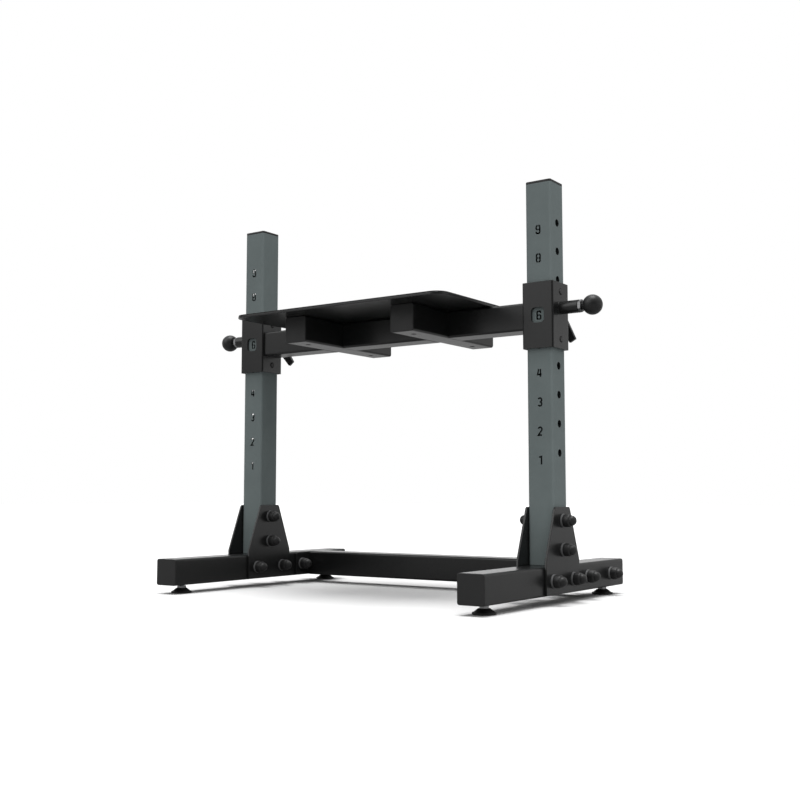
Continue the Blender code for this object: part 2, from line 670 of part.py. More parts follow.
def make_liner(side, carriage, plastic):
    """The plastic liner inside a sleeve, with four buttons that hold it in the sleeve's side holes."""
    sign = SIDES[side]
    x = upright_x(side)
    outer_side = SLEEVE_INNER - 2 * SEAT_GAP
    inner_side = TUBE_SIDE + 2 * RUN_GAP
    outer = rounded_rectangle(outer_side, outer_side, SLEEVE_CORNER - SLEEVE_WALL)
    inner = rounded_rectangle(inner_side, inner_side, TUBE_CORNER + RUN_GAP)
    bm = bmesh.new()
    add_tube(bm, (outer, inner), -LINER_LENGTH / 2, LINER_LENGTH / 2)
    liner = make_object(f"sleeve_liner_{side}", bm, plastic, (x, 0, 0), parent=carriage, smooth=True)
    root = outer_side / 2 - LINER_WALL / 2
    tip = SLEEVE_SIDE / 2 + BUTTON_RISE
    profile = [
        (0, root),
        (BUTTON_RADIUS, root),
        (BUTTON_RADIUS, tip - BUTTON_CHAMFER),
        (BUTTON_RADIUS - BUTTON_CHAMFER, tip),
        (0, tip),
    ]
    bm = bmesh.new()
    for x_sign in (-1, 1):
        outward = Matrix.Rotation(math.radians(90 * x_sign), 4, "Y")
        for z_sign in (-1, 1):
            add_turned(bm, profile, HOLE_SIDES, Matrix.Translation((0, 0, z_sign * BUTTON_OFFSET)) @ outward)
    buttons = make_cutter(f"join_buttons_{side}", bm, (x, 0, 0), parent=carriage)
    add_boolean(liner, buttons, "UNION")
    bm = bmesh.new()
    reach = outer_side / 2
    low, high = sorted((sign * (reach - 2 * LINER_WALL), sign * (reach + LINER_WALL)))
    nose_hole = round_in_hole(HOLE_RADIUS, HOLE_SIDES)
    pin_line = Matrix.Translation((0, 0, PIN_HEIGHT)) @ ALONG_X
    add_cylinder(bm, nose_hole, low, high, HOLE_SIDES, pin_line)
    stud_hole = round_in_hole(CLAMP_STUD_RADIUS + TURN_GAP, HOLE_SIDES)
    add_cylinder(bm, stud_hole, reach - 2 * LINER_WALL, reach + LINER_WALL, HOLE_SIDES, ALONG_Y)
    window = rounded_rectangle(WINDOW_WIDTH, WINDOW_HEIGHT, WINDOW_CORNER)
    add_prism(bm, window, -reach - LINER_WALL, -reach + 2 * LINER_WALL, ALONG_Y)
    cutter = make_cutter(f"cut_liner_{side}", bm, (x, 0, 0), parent=carriage)
    add_boolean(liner, cutter, "DIFFERENCE")


def hexagon(flats):
    """Outline of a hexagon with two corners up and down, from its width across flats."""
    corner = flats / 2 / math.cos(math.pi / 6)
    return circle(corner, 6)


def make_pull_pin(side, carriage, bright, black, spring_steel):
    """A spring pull pin: nut, pin, spring and ball knob, drawn with its nose just clear of the upright."""
    sign = SIDES[side]
    face = SLEEVE_SIDE / 2
    outward = (0, math.radians(90 * sign), 0)
    barrel_end = face + BARREL_LENGTH
    nut_seat = barrel_end + SEAT_GAP
    spigot_end = nut_seat - PIN_SPIGOT_LENGTH
    nut_end = nut_seat + PIN_NUT_HEIGHT
    holder = make_empty(f"pin_line_{side}", (upright_x(side), 0, PIN_HEIGHT), outward, carriage)

    bm = bmesh.new()
    add_prism(bm, hexagon(PIN_NUT_FLATS), nut_seat, nut_end, Matrix.Rotation(math.radians(90), 4, "Z"))
    nut = make_object(f"pin_nut_{side}", bm, bright, parent=holder)
    bm = bmesh.new()
    spigot_radius = BARREL_BORE - SEAT_GAP
    add_cylinder(bm, spigot_radius, spigot_end, nut_seat + PIN_NUT_HEIGHT / 2, ROUND_SIDES)
    spigot = make_cutter(f"join_spigot_{side}", bm, parent=holder)
    add_boolean(nut, spigot, "UNION")
    bm = bmesh.new()
    stem_hole = round_in_hole(STEM_RADIUS + TURN_GAP, ROUND_SIDES)
    neck_hole = round_in_hole(BALL_NECK_RADIUS + TURN_GAP, ROUND_SIDES)
    recess = nut_end - BALL_NECK_ENTRY - PIN_INWARD_TRAVEL - SEAT_GAP
    profile = [
        (0, spigot_end - SEAT_GAP),
        (stem_hole, spigot_end - SEAT_GAP),
        (stem_hole, recess),
        (neck_hole, recess),
        (neck_hole, nut_end + SEAT_GAP),
        (0, nut_end + SEAT_GAP),
    ]
    add_turned(bm, profile, ROUND_SIDES)
    cutter = make_cutter(f"cut_pin_nut_{side}", bm, parent=holder)
    add_boolean(nut, cutter, "DIFFERENCE")

    nose_tip = TUBE_SIDE / 2 + RUN_GAP
    collar = nose_tip + NOSE_LENGTH
    stem = collar + COLLAR_LENGTH
    ball_flat = nut_end + PIN_INWARD_TRAVEL + SEAT_GAP
    stem_end = ball_flat + BALL_BORE_DEPTH - SEAT_GAP
    profile = [
        (0, nose_tip),
        (NOSE_RADIUS - NOSE_CHAMFER, nose_tip),
        (NOSE_RADIUS, nose_tip + NOSE_CHAMFER),
        (NOSE_RADIUS, collar),
        (COLLAR_RADIUS, collar),
        (COLLAR_RADIUS, stem),
        (STEM_RADIUS, stem),
        (STEM_RADIUS, stem_end),
        (0, stem_end),
    ]
    bm = bmesh.new()
    add_turned(bm, profile, HOLE_SIDES)
    make_object(f"pull_pin_{side}", bm, bright, parent=holder, smooth=True)

    bore = round_in_hole(STEM_RADIUS + TURN_GAP, ROUND_SIDES)
    centre = ball_flat + BALL_FLAT
    flat_angle = math.degrees(math.asin(BALL_FLAT / BALL_RADIUS))
    neck_end = nut_end - BALL_NECK_ENTRY
    profile = [
        (0, ball_flat + BALL_BORE_DEPTH),
        (bore, ball_flat + BALL_BORE_DEPTH),
        (bore, neck_end),
        (BALL_NECK_RADIUS, neck_end),
        (BALL_NECK_RADIUS, ball_flat),
    ]
    for i in range(BALL_STEPS + 1):
        angle = math.radians(-flat_angle + (90 + flat_angle) * i / BALL_STEPS)
        profile.append((max(0, BALL_RADIUS * math.cos(angle)), centre + BALL_RADIUS * math.sin(angle)))
    bm = bmesh.new()
    add_turned(bm, profile, ROUND_SIDES)
    make_object(f"ball_knob_{side}", bm, black, parent=holder, smooth=True)

    make_spring(f"pin_spring_{side}", stem + SEAT_GAP, spigot_end - SEAT_GAP, spring_steel, holder)


def make_spring(name, low, high, material, parent):
    """A coil spring between two heights, as one bent wire with closed ends."""
    count = SPRING_TURNS * SPRING_STEPS
    first = low + SPRING_WIRE_RADIUS
    last = high - SPRING_WIRE_RADIUS
    bm = bmesh.new()
    rings = []
    for i in range(count + 1):
        angle = math.tau * i / SPRING_STEPS
        height = first + (last - first) * i / count
        centre = Vector((SPRING_RADIUS * math.cos(angle), SPRING_RADIUS * math.sin(angle), height))
        across = Vector((math.cos(angle), math.sin(angle), 0))
        ring = []
        for k in range(SPRING_WIRE_SIDES):
            turn = math.tau * k / SPRING_WIRE_SIDES
            offset = across * math.cos(turn) + Vector((0, 0, math.sin(turn)))
            ring.append(bm.verts.new(centre + offset * SPRING_WIRE_RADIUS))
        rings.append(ring)
    for here, there in zip(rings, rings[1:]):
        for k in range(SPRING_WIRE_SIDES):
            j = (k + 1) % SPRING_WIRE_SIDES
            bm.faces.new((here[k], here[j], there[j], there[k]))
    bm.faces.new(rings[0])
    bm.faces.new(rings[-1])
    bmesh.ops.recalc_face_normals(bm, faces=bm.faces)
    make_object(name, bm, material, parent=parent, smooth=True)


def lever_outline():
    """Outline of a lever in its own plane: a round hub that narrows to a flat end along +X."""
    end = LEVER_END_WIDTH / 2
    lean = math.degrees(math.asin((HUB_RADIUS - end) / LEVER_REACH))
    hub = []
    for i in range(HUB_STEPS + 1):
        angle = math.radians(90 - lean + (180 + 2 * lean) * i / HUB_STEPS)
        hub.append((HUB_RADIUS * math.cos(angle), HUB_RADIUS * math.sin(angle)))
    return hub + [(LEVER_REACH, -end), (LEVER_REACH, end)]


def make_clamp_lever(side, carriage, black):
    """A clamping lever with its stud, turned to where it stands when it is tight."""
    face = SLEEVE_SIDE / 2
    hub_seat = face + BOSS_LENGTH + SEAT_GAP
    back = face + LEVER_BACK
    tip = TUBE_SIDE / 2 + CLAMP_TIP_GAP
    angle = math.radians(-LEVER_ANGLES[side])
    holder = make_empty(f"clamp_line_{side}", (upright_x(side), 0, 0), (0, angle, 0), carriage)
    into_plane = Matrix.Rotation(math.radians(90), 4, "X")
    bm = bmesh.new()
    add_prism(bm, lever_outline(), -back, -back + LEVER_THICKNESS, into_plane)
    lever = make_object(f"clamp_lever_{side}", bm, black, parent=holder, smooth=True)
    profile = [
        (0, tip),
        (CLAMP_STUD_RADIUS, tip),
        (CLAMP_STUD_RADIUS, hub_seat),
        (HUB_RADIUS - SEAT_GAP, hub_seat),
        (HUB_RADIUS - SEAT_GAP, back - LEVER_THICKNESS / 2),
        (0, back - LEVER_THICKNESS / 2),
    ]
    bm = bmesh.new()
    add_turned(bm, profile, HOLE_SIDES, ALONG_Y)
    stud = make_cutter(f"join_clamp_stud_{side}", bm, parent=holder)
    add_boolean(lever, stud, "UNION")


def make_beam(carriage, steel):
    """The beam between the sleeves, in three lengths that end on the arms' side faces."""
    sleeve_face = (UPRIGHT_SPACING - SLEEVE_SIDE) / 2 - SEAT_GAP
    arm_outside = (ARM_SPACING + TUBE_SIDE) / 2 + SEAT_GAP
    arm_inside = (ARM_SPACING - TUBE_SIDE) / 2 - SEAT_GAP
    spans = {
        "left": (-sleeve_face, -arm_outside),
        "middle": (-arm_inside, arm_inside),
        "right": (arm_outside, sleeve_face),
    }
    for name, (low, high) in spans.items():
        bm = bmesh.new()
        add_tube(bm, tube_outlines(), low, high, ALONG_X)
        make_object(f"platform_beam_{name}", bm, steel, parent=carriage, smooth=True)


def make_arms(carriage, steel, plastic, bright):
    """The two arms under the deck, with their end plugs and the deck's bolts."""
    arm_half = ARM_SPAN / 2 - PLUG_THICKNESS - SEAT_GAP
    bolt_hole = round_in_hole(DECK_BOLT_RADIUS + BOLT_GAP, HOLE_SIDES)
    access_hole = round_in_hole(ACCESS_HOLE_RADIUS, HOLE_SIDES)
    head_top = TUBE_SIDE / 2 - TUBE_WALL - SEAT_GAP
    bolt_profile = [
        (0, head_top - DECK_BOLT_HEAD_HEIGHT),
        (DECK_BOLT_HEAD_RADIUS, head_top - DECK_BOLT_HEAD_HEIGHT),
        (DECK_BOLT_HEAD_RADIUS, head_top),
        (DECK_BOLT_RADIUS, head_top),
        (DECK_BOLT_RADIUS, DECK_HIGH),
        (0, DECK_HIGH),
    ]
    for side, sign in SIDES.items():
        x = sign * ARM_SPACING / 2
        bm = bmesh.new()
        add_tube(bm, tube_outlines(), -arm_half, arm_half, ALONG_Y)
        arm = make_object(f"platform_arm_{side}", bm, steel, (x, 0, 0), parent=carriage, smooth=True)
        cuts = bmesh.new()
        for end, y_sign in ENDS.items():
            y = y_sign * DECK_BOLT_OFFSET
            place = Matrix.Translation((0, y, 0))
            add_cylinder(cuts, access_hole, -TUBE_SIDE, 0, HOLE_SIDES, place)
            add_cylinder(cuts, bolt_hole, SEAT_GAP, TUBE_SIDE, HOLE_SIDES, place)
            turn = (math.radians(-90 * y_sign), 0, 0)
            place = (x, y_sign * (arm_half + SEAT_GAP), 0)
            make_object(
                f"arm_plug_{side}_{end}", plug_mesh(PLUG_THICKNESS), plastic, place, turn, carriage, True
            )
            bm = bmesh.new()
            add_turned(bm, bolt_profile, HOLE_SIDES)
            make_object(f"deck_bolt_{side}_{end}", bm, bright, (x, y, 0), parent=carriage, smooth=True)
        cutter = make_cutter(f"cut_arm_{side}", cuts, (x, 0, 0), parent=carriage)
        add_boolean(arm, cutter, "DIFFERENCE")


def make_deck(carriage, steel, rubber):
    """The deck plate on the arms, and the mat on it."""
    bm = bmesh.new()
    outline = rounded_rectangle(DECK_WIDTH, DECK_DEPTH, DECK_CORNER, DECK_CORNER_STEPS)
    add_prism(bm, outline, DECK_LOW, DECK_HIGH)
    deck = make_object("deck_plate", bm, steel, parent=carriage)
    bolt_hole = round_in_hole(DECK_BOLT_RADIUS + BOLT_GAP, HOLE_SIDES)
    bm = bmesh.new()
    for x_sign in (-1, 1):
        for y_sign in (-1, 1):
            place = Matrix.Translation((x_sign * ARM_SPACING / 2, y_sign * DECK_BOLT_OFFSET, 0))
            add_cylinder(bm, bolt_hole, DECK_LOW - TUBE_WALL, DECK_HIGH + TUBE_WALL, HOLE_SIDES, place)
    cutter = make_cutter("cut_deck_plate", bm, parent=carriage)
    add_boolean(deck, cutter, "DIFFERENCE")
    bm = bmesh.new()
    mat_low = DECK_HIGH + SEAT_GAP
    mat_width = DECK_WIDTH - 2 * MAT_MARGIN
    mat_depth = DECK_DEPTH - 2 * MAT_MARGIN
    outline = rounded_rectangle(mat_width, mat_depth, DECK_CORNER - MAT_MARGIN, DECK_CORNER_STEPS)
    add_prism(bm, outline, mat_low, mat_low + MAT_THICKNESS)
    make_object("deck_mat", bm, rubber, parent=carriage)


def main():
    """Build the whole platform."""
    clear_scene()
    grey = make_material("grey_powder_coat", (0.27, 0.30, 0.29), 0.5, 0.1)
    black = make_material("black_powder_coat", (0.075, 0.075, 0.078), 0.5, 0.1)
    plastic = make_material("black_plastic", (0.045, 0.045, 0.047), 0.45, 0.0)
    knob = make_material("black_knob", (0.06, 0.062, 0.065), 0.3, 0.0)
    rubber = make_material("black_rubber", (0.03, 0.03, 0.031), 0.85, 0.0)
    bright = make_material("bright_zinc", (0.72, 0.72, 0.71), 0.3, 1.0)
    liner = make_material("liner_plastic", (0.09, 0.09, 0.09), 0.6, 0.0)

    make_foot_tubes(black, plastic)
    make_cross_tube(black)
    make_uprights(grey, plastic)
    make_gussets(black)
    make_bolts(plastic)
    make_levelling_feet(rubber)

    carriage = make_empty("carriage_origin", (0, 0, CARRIAGE_Z))
    for side in SIDES:
        make_sleeve(side, carriage, black)
        make_liner(side, carriage, liner)
        make_pull_pin(side, carriage, bright, knob, bright)
        make_clamp_lever(side, carriage, knob)
    make_beam(carriage, black)
    make_arms(carriage, black, plastic, bright)
    make_deck(carriage, black, rubber)


main()
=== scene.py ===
import math

import bmesh
import bpy
from mathutils import Matrix, Vector


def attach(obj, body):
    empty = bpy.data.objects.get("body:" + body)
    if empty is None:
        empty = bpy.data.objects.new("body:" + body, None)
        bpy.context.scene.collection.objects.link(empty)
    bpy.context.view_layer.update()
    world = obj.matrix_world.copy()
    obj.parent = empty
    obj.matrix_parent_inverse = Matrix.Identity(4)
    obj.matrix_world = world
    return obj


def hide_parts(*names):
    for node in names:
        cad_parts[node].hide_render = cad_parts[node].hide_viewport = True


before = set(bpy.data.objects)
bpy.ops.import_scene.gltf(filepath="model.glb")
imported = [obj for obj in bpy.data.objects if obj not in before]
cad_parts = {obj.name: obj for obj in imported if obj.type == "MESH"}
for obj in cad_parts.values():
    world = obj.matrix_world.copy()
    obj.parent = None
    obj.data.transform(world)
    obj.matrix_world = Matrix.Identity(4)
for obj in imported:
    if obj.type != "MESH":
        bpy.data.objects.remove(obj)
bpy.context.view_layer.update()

# Camera: a solution from the straight edges in the photograph
CAMERA_PLACE = (1.4894, -2.0923, 0.2262)
CAMERA_YAW = 34.96           # degrees, from +Y towards -X
CAMERA_PITCH = 4.935         # degrees above the horizon
CAMERA_REACH = 60            # metres to the farthest thing that it sees
FOCAL_PIXELS = 1100.6
PICTURE_WIDTH = 800
SENSOR_MM = 36.0

# Light and floor
SUN_STRENGTH = 2.35
SUN_ANGLE = 36               # degrees across
FLOOR_HALF = 20.0
FLOOR_TONE = 0.25            # of the floor as a source of light; the camera sees it white
FLOOR_ROUGHNESS = 0.9
REFLECTED_WHITE = 0.13       # share of that white in the floor that reflections show

# The studio as reflections see it. Bands are (height of a direction, level). Lobes are
# (direction, low, high, level at low, level at high), where low and high are cosines of the angle
# to the direction. The first lobes multiply the bands, the softbox is added to them.
BANDS = [(0.0, 1.1), (0.10, 1.05), (0.22, 0.5), (0.42, 0.5), (0.55, 0.8), (1.0, 0.8)]
LOBES = [
    ((0, -1, 0), -0.2, 0.3, 1.0, 0.80),             # front
    ((0.573, -0.82, 0), 0.6, 0.92, 1.0, 0.15),      # dark side, in front and to the right
    ((-0.8, -0.6, 0), 0.93, 1.0, 1.0, 0.3),         # left
    ((0.70, 0.714, 0), 0.97, 1.0, 1.0, 1.45),       # right, towards the rear
    ((0.40, 0.917, 0), 0.93, 0.995, 1.0, 0.72),     # rear
    ((-0.6, 0.8, 0), 0.85, 0.98, 1.0, 1.3),         # rear, to the left
]
SOFTBOX = ((-0.45, -0.655, 0.577), 0.86, 0.95, 0.0, 1.6)
# The studio as a source of light on matt surfaces
FILL_BANDS = [(0.0, 0.02), (0.36, 0.05), (0.55, 0.54), (0.9, 0.54), (1.0, 0.3)]
FRONT_FILL = ((0.55, -0.55, 0.63), 0.5, 0.95, 0.0, 0.6)

# Sizes of the solids that the pieces stand for, in metres
SEAT_GAP = 0.0003
TUBE_SIDE = 0.060
TUBE_WALL = 0.003
TUBE_CORNER = 0.005
SQUARE_TUBE = (TUBE_SIDE, TUBE_WALL, TUBE_CORNER)
PLUG_THICKNESS = 0.003
PLUG_RIM = 0.0012
PLUG_DEPTH = 0.012
SPIGOT_CORNER = 0.0025
SPIGOT_RIM = 0.0006
UPRIGHT_X = 0.407
UPRIGHT_BASE = 0.0803
UPRIGHT_LENGTH = 0.813
CAP_THICKNESS = 0.005
FOOT_HALF = 0.315
FOOT_TOP = 0.080
TUBE_CENTRE_Z = FOOT_TOP - TUBE_SIDE / 2
PAD_Y = 0.265
CROSS_TUBE_Y = 0.185
FLANGE_SIZE = (0.164, 0.058, 0.005)
FLANGE_CORNER = 0.008
FLANGE_RIM = 0.0008
FLANGE_OVERLAP = 0.001
HOLE_PITCH = 0.0616
HOLE_RADIUS = 0.008
FIRST_HOLE_HEIGHT = 0.2340
DIGIT_DROP = 0.016
DIGIT_HEIGHT = 0.0200
DIGIT_WIDTH = 0.0119
DIGIT_STROKE = 0.0034
DIGIT_BEND = 0.0024
DIGIT_BRIDGE = 0.0012
GUSSET_THICKNESS = 0.005
GUSSET_FACE = TUBE_SIDE / 2 + SEAT_GAP + GUSSET_THICKNESS
GUSSET_BOTTOM = -0.058       # from the foot tube's top, as the next two heights
GUSSET_SHOULDER = (0.0755, 0.010)
GUSSET_APEX = (0.033, 0.1215)
GUSSET_BLUNT = 0.005
BOLT_HEIGHTS = (0.0325, 0.0930)
FOOT_BOLT_Y = (-0.046, 0.046)
FLANGE_BOLT_Y = (0.125, 0.245)
CARRIAGE_Z = 0.6063
SLEEVE_INNER = 0.0674
SLEEVE_SIDE = 0.0734
SLEEVE_CORNER = 0.004
SLEEVE_LENGTH = 0.142
SLEEVE_FACE = SLEEVE_SIDE / 2
LINER_WALL = 0.003
LINER_CORNER = 0.003
LINER_LENGTH = 0.138
WINDOW = (0.0305, 0.0320, 0.008)
BUTTON_SPOTS = ((-1, -1), (-1, 1), (1, -1), (1, 1))      # signs of X and Z
BUTTON_OFFSET = 0.051
BUTTON_HOLE_RADIUS = 0.0069
BUTTON_RADIUS = 0.0055
BUTTON_RISE = 0.0014
PIN_HEIGHT = 0.016
BARREL_RADIUS = 0.0138
BARREL_BORE = 0.0092
BARREL_LENGTH = 0.0435
BOSS_BORE = 0.0063
BOSS_LENGTH = 0.022
NUT_FLATS = 0.024
NUT_LENGTH = 0.007
NOSE_GAP = 0.0004            # between a pull pin's nose and the upright
PIN_RADIUS = 0.0077
COLLAR_RADIUS = 0.0089
COLLAR_LENGTH = 0.0026       # short, so that the pin can be drawn 3 mm towards the spring
ROD_RADIUS = 0.005
NECK_RADIUS = 0.0082
BALL_RADIUS = 0.0213
BALL_CENTRE = 0.0172         # from the flat that the ball's neck ends at
LEVER_ANGLES = {"left": 51.6, "right": 61.4}             # degrees about Y, from +X
LEVER_BACK = 0.050           # from the sleeve's face
LEVER_THICKNESS = 0.0085
LEVER_REACH = 0.0500
LEVER_END = 0.0082           # half of its width there
HUB_RADIUS = 0.0115
ARM_X = 0.14925
ARM_HALF = 0.170
BEAM_OVERLAP = 0.0005
DECK_SIZE = (0.577, 0.460, 0.005)
DECK_CORNER = 0.029
MAT_INSET = 0.001
MAT_THICKNESS = 0.0021
DECK_BOLT_Y = 0.123

SIDES = {"left": -1, "right": 1}
ENDS = {"front": -1, "rear": 1}

# Turns that lay a form's own Z axis along X or Y, towards either end
TO_X = {sign: Matrix.Rotation(math.radians(90 * sign), 4, "Y") for sign in (1, -1)}
TO_Y = {sign: Matrix.Rotation(math.radians(-90 * sign), 4, "X") for sign in (1, -1)}
ALONG_X = TO_X[1]
ALONG_Y = TO_Y[1]
PLATE_ALONG_X = ALONG_X @ Matrix.Rotation(math.radians(90), 4, "Z")      # its outline in Y and Z

# Facets of round forms, and the angles in degrees at which edges are sharp or bevelled
CORNER_STEPS = 7
ROUND_SIDES = 56
SMALL_SIDES = 40
SHARP_ANGLE = 38
BEVEL_ANGLE = 55


# Forms

def circle(radius, sides=ROUND_SIDES):
    """Points around a circle, counter-clockwise."""
    angles = [math.tau * i / sides for i in range(sides)]
    return [(radius * math.cos(angle), radius * math.sin(angle)) for angle in angles]


def hexagon(flats):
    """Outline of a hexagon with two corners on the X axis, from its width across flats."""
    return circle(flats / 2 / math.cos(math.pi / 6), 6)


def rounded_rectangle(width, height, corner):
    """Outline of a rectangle with round corners, counter-clockwise."""
    points = []
    for x_sign, y_sign, start in ((1, 1, 0), (-1, 1, 90), (-1, -1, 180), (1, -1, 270)):
        for i in range(CORNER_STEPS + 1):
            angle = math.radians(start + 90 * i / CORNER_STEPS)
            x = x_sign * (width / 2 - corner) + corner * math.cos(angle)
            y = y_sign * (height / 2 - corner) + corner * math.sin(angle)
            points.append((x, y))
    return points


def arc(centre, radii, start, stop, step=12):
    """Points on an ellipse from one angle to another, about a step apart, in degrees."""
    count = max(1, math.ceil(abs(stop - start) / step))
    points = []
    for i in range(count + 1):
        angle = math.radians(start + (stop - start) * i / count)
        x = centre[0] + radii[0] * math.cos(angle)
        points.append((x, centre[1] + radii[1] * math.sin(angle)))
    return points


def bow(centre, radius, start, stop, steps):
    """Profile points on an arc, angles in degrees from the radial direction towards +Z."""
    return arc(centre, (radius, radius), start, stop, abs(stop - start) / steps)


def bent(points, bend, steps=5):
    """A line of points with each inner corner turned into a short bow."""
    longest = 0.8        # of a leg, as a share
    line = [Vector(point) for point in points]
    result = [line[0]]
    for before, corner, after in zip(line, line[1:], line[2:]):
        back = before - corner
        forth = after - corner
        reach = min(bend, longest * back.length, longest * forth.length)
        back = back.normalized() * reach
        forth = forth.normalized() * reach
        for i in range(steps + 1):
            turn = math.radians(90 * i / steps)
            result.append(corner + back * (1 - math.sin(turn)) + forth * (1 - math.cos(turn)))
    return [tuple(point) for point in result + [line[-1]]]


def ribbon(points, width):
    """Outline of a band of even width that follows a line of points."""
    sharpest = 0.4       # cosine of half the turn at a corner, so that none sticks out far
    line = [Vector(point) for point in points]
    legs = [(there - here).normalized() for here, there in zip(line, line[1:])]
    left = []
    right = []
    for point, before, after in zip(line, legs[:1] + legs, legs + legs[-1:]):
        tangent = (before + after).normalized()
        normal = Vector((-tangent.y, tangent.x))
        reach = width / 2 / max(sharpest, normal.dot(Vector((-before.y, before.x))))
        left.append(point + normal * reach)
        right.append(point - normal * reach)
    return [tuple(point) for point in left + right[::-1]]


def add_layers(bm, layers, matrix, hollow=False):
    """Skin a stack of (outline, height) layers that all have the same number of points."""
    rings = [[bm.verts.new((x, y, height)) for x, y in outline] for outline, height in layers]
    pairs = list(zip(rings, rings[1:]))
    faces = []
    if hollow:
        pairs.append((rings[-1], rings[0]))
    else:
        faces += [bm.faces.new(rings[0]), bm.faces.new(rings[-1])]
    for here, there in pairs:
        for i, vert in enumerate(here):
            j = (i + 1) % len(here)
            faces.append(bm.faces.new((vert, here[j], there[j], there[i])))
    bmesh.ops.recalc_face_normals(bm, faces=faces)
    bmesh.ops.transform(bm, matrix=matrix, verts=[vert for ring in rings for vert in ring])
    return bm


def add_prism(bm, outline, low, high, matrix):
    """Add a closed prism that stands on an outline in the XY plane."""
    return add_layers(bm, [(outline, low), (outline, high)], matrix)


def add_slab(bm, size, low, high, rim, matrix, both=True, steps=4):
    """Add a plate of (width, height, corner) with its upper edge, or both edges, rounded."""
    width, height, corner = size
    least_corner = 0.0004
    layers = []
    angles = [math.radians(90 * i / steps) for i in range(steps + 1)]
    bows = [(rim * (1 - math.sin(angle)), rim * (1 - math.cos(angle))) for angle in angles]

    def outline(inset):
        inner_corner = max(corner - inset, least_corner)
        return rounded_rectangle(width - 2 * inset, height - 2 * inset, inner_corner)

    if both:
        layers += [(outline(inset), low + rise) for inset, rise in bows]
    else:
        layers.append((outline(0), low))
    layers += [(outline(inset), high - fall) for fall, inset in bows]
    return add_layers(bm, layers, matrix)


def add_tube(bm, section, low, high, matrix):
    """Add an open-ended tube of (side, wall, corner) with slightly rounded end edges."""
    side, wall, corner = section
    least_corner = 0.001
    ease = 0.0004
    inner_side = side - 2 * wall
    inner_corner = max(corner - wall, least_corner)
    outer = rounded_rectangle(side, side, corner)
    outer_end = rounded_rectangle(side - 2 * ease, side - 2 * ease, corner - ease)
    inner = rounded_rectangle(inner_side, inner_side, inner_corner)
    wider = inner_side + 2 * ease
    inner_end = rounded_rectangle(wider, wider, inner_corner + ease)
    layers = [
        (outer_end, low), (outer, low + ease), (outer, high - ease), (outer_end, high),
        (inner_end, high), (inner, high - ease), (inner, low + ease), (inner_end, low),
    ]
    return add_layers(bm, layers, matrix, hollow=True)


def add_turned(bm, profile, sides, matrix):
    """Turn a profile of (radius, height) points that starts and ends on the Z axis."""
    on_axis = 1e-7
    rings = []
    for radius, height in profile:
        points = [(0, 0)] if radius < on_axis else circle(radius, sides)
        rings.append([bm.verts.new((x, y, height)) for x, y in points])
    faces = []
    for here, there in zip(rings, rings[1:]):
        for i in range(sides):
            j = (i + 1) % sides
            around = [here[i % len(here)], here[j % len(here)]]
            around += [there[j % len(there)], there[i % len(there)]]
            corners = list(dict.fromkeys(around))
            if len(corners) > 2:
                faces.append(bm.faces.new(corners))
    bmesh.ops.recalc_face_normals(bm, faces=faces)
    bmesh.ops.transform(bm, matrix=matrix, verts=[vert for ring in rings for vert in ring])
    return bm


def chamfered_hexagon(flats, low, high, radii, chamfer, sides, matrix):
    """A hexagonal prism, and the form with the radii at its ends and middle that trims it."""
    end, middle = radii
    past = 0.0001
    profile = [(0, low - past), (end, low - past), (middle, low + chamfer)]
    profile += [(middle, high - chamfer), (end, high + past), (0, high + past)]
    prism = add_prism(bmesh.new(), hexagon(flats), low, high, matrix)
    return prism, add_turned(bmesh.new(), profile, sides, matrix)


# Pieces

def settle(item):
    """Put an object's modifiers into its mesh."""
    bpy.context.view_layer.update()
    graph = bpy.context.evaluated_depsgraph_get()
    mesh = bpy.data.meshes.new_from_object(item.evaluated_get(graph))
    old = item.data
    item.modifiers.clear()
    item.data = mesh
    bpy.data.meshes.remove(old)


def link_bmesh(name, bm, material):
    """Turn a bmesh into an object of the scene."""
    mesh = bpy.data.meshes.new(name)
    bm.to_mesh(mesh)
    bm.free()
    mesh.materials.append(material)
    item = bpy.data.objects.new(name, mesh)
    bpy.context.scene.collection.objects.link(item)
    return item


def make_piece(
    name, bm, material, body, slot, node=None, bevel=0.0, segments=2, work=(), cut_material=None
):
    """Turn a bmesh into a piece that rides on a body, and stands for a node where one is named.

    Each entry of work is a Boolean operation with the bmesh that it uses. The faces that it
    leaves get cut_material, where one is given.
    """
    item = link_bmesh(name, bm, material)
    helpers = []
    for i, (operation, helper_bm) in enumerate(work):
        helpers.append(link_bmesh(f"{name}_helper_{i}", helper_bm, cut_material or material))
        modifier = item.modifiers.new("boolean", "BOOLEAN")
        modifier.operation = operation
        modifier.solver = "EXACT"
        modifier.object = helpers[-1]
        modifier.material_mode = "TRANSFER"
    if bevel:
        modifier = item.modifiers.new("bevel", "BEVEL")
        modifier.width = bevel
        modifier.segments = segments
        modifier.limit_method = "ANGLE"
        modifier.angle_limit = math.radians(BEVEL_ANGLE)
        modifier.use_clamp_overlap = False
    settle(item)
    for helper in helpers:
        bpy.data.objects.remove(helper, do_unlink=True)
    item.data.shade_smooth()
    item.data.set_sharp_from_angle(angle=math.radians(SHARP_ANGLE))
    modifier = item.modifiers.new("normals", "WEIGHTED_NORMAL")
    modifier.keep_sharp = True
    settle(item)
    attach(item, body)
    if node is not None:
        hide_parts(node)


def dress(node, finish, bm, material, body, slot, **how):
    """Make the piece that stands for a node, named after the node and its finish."""
    make_piece(f"{node}_{finish}", bm, material, body, slot, node, **how)


# Materials

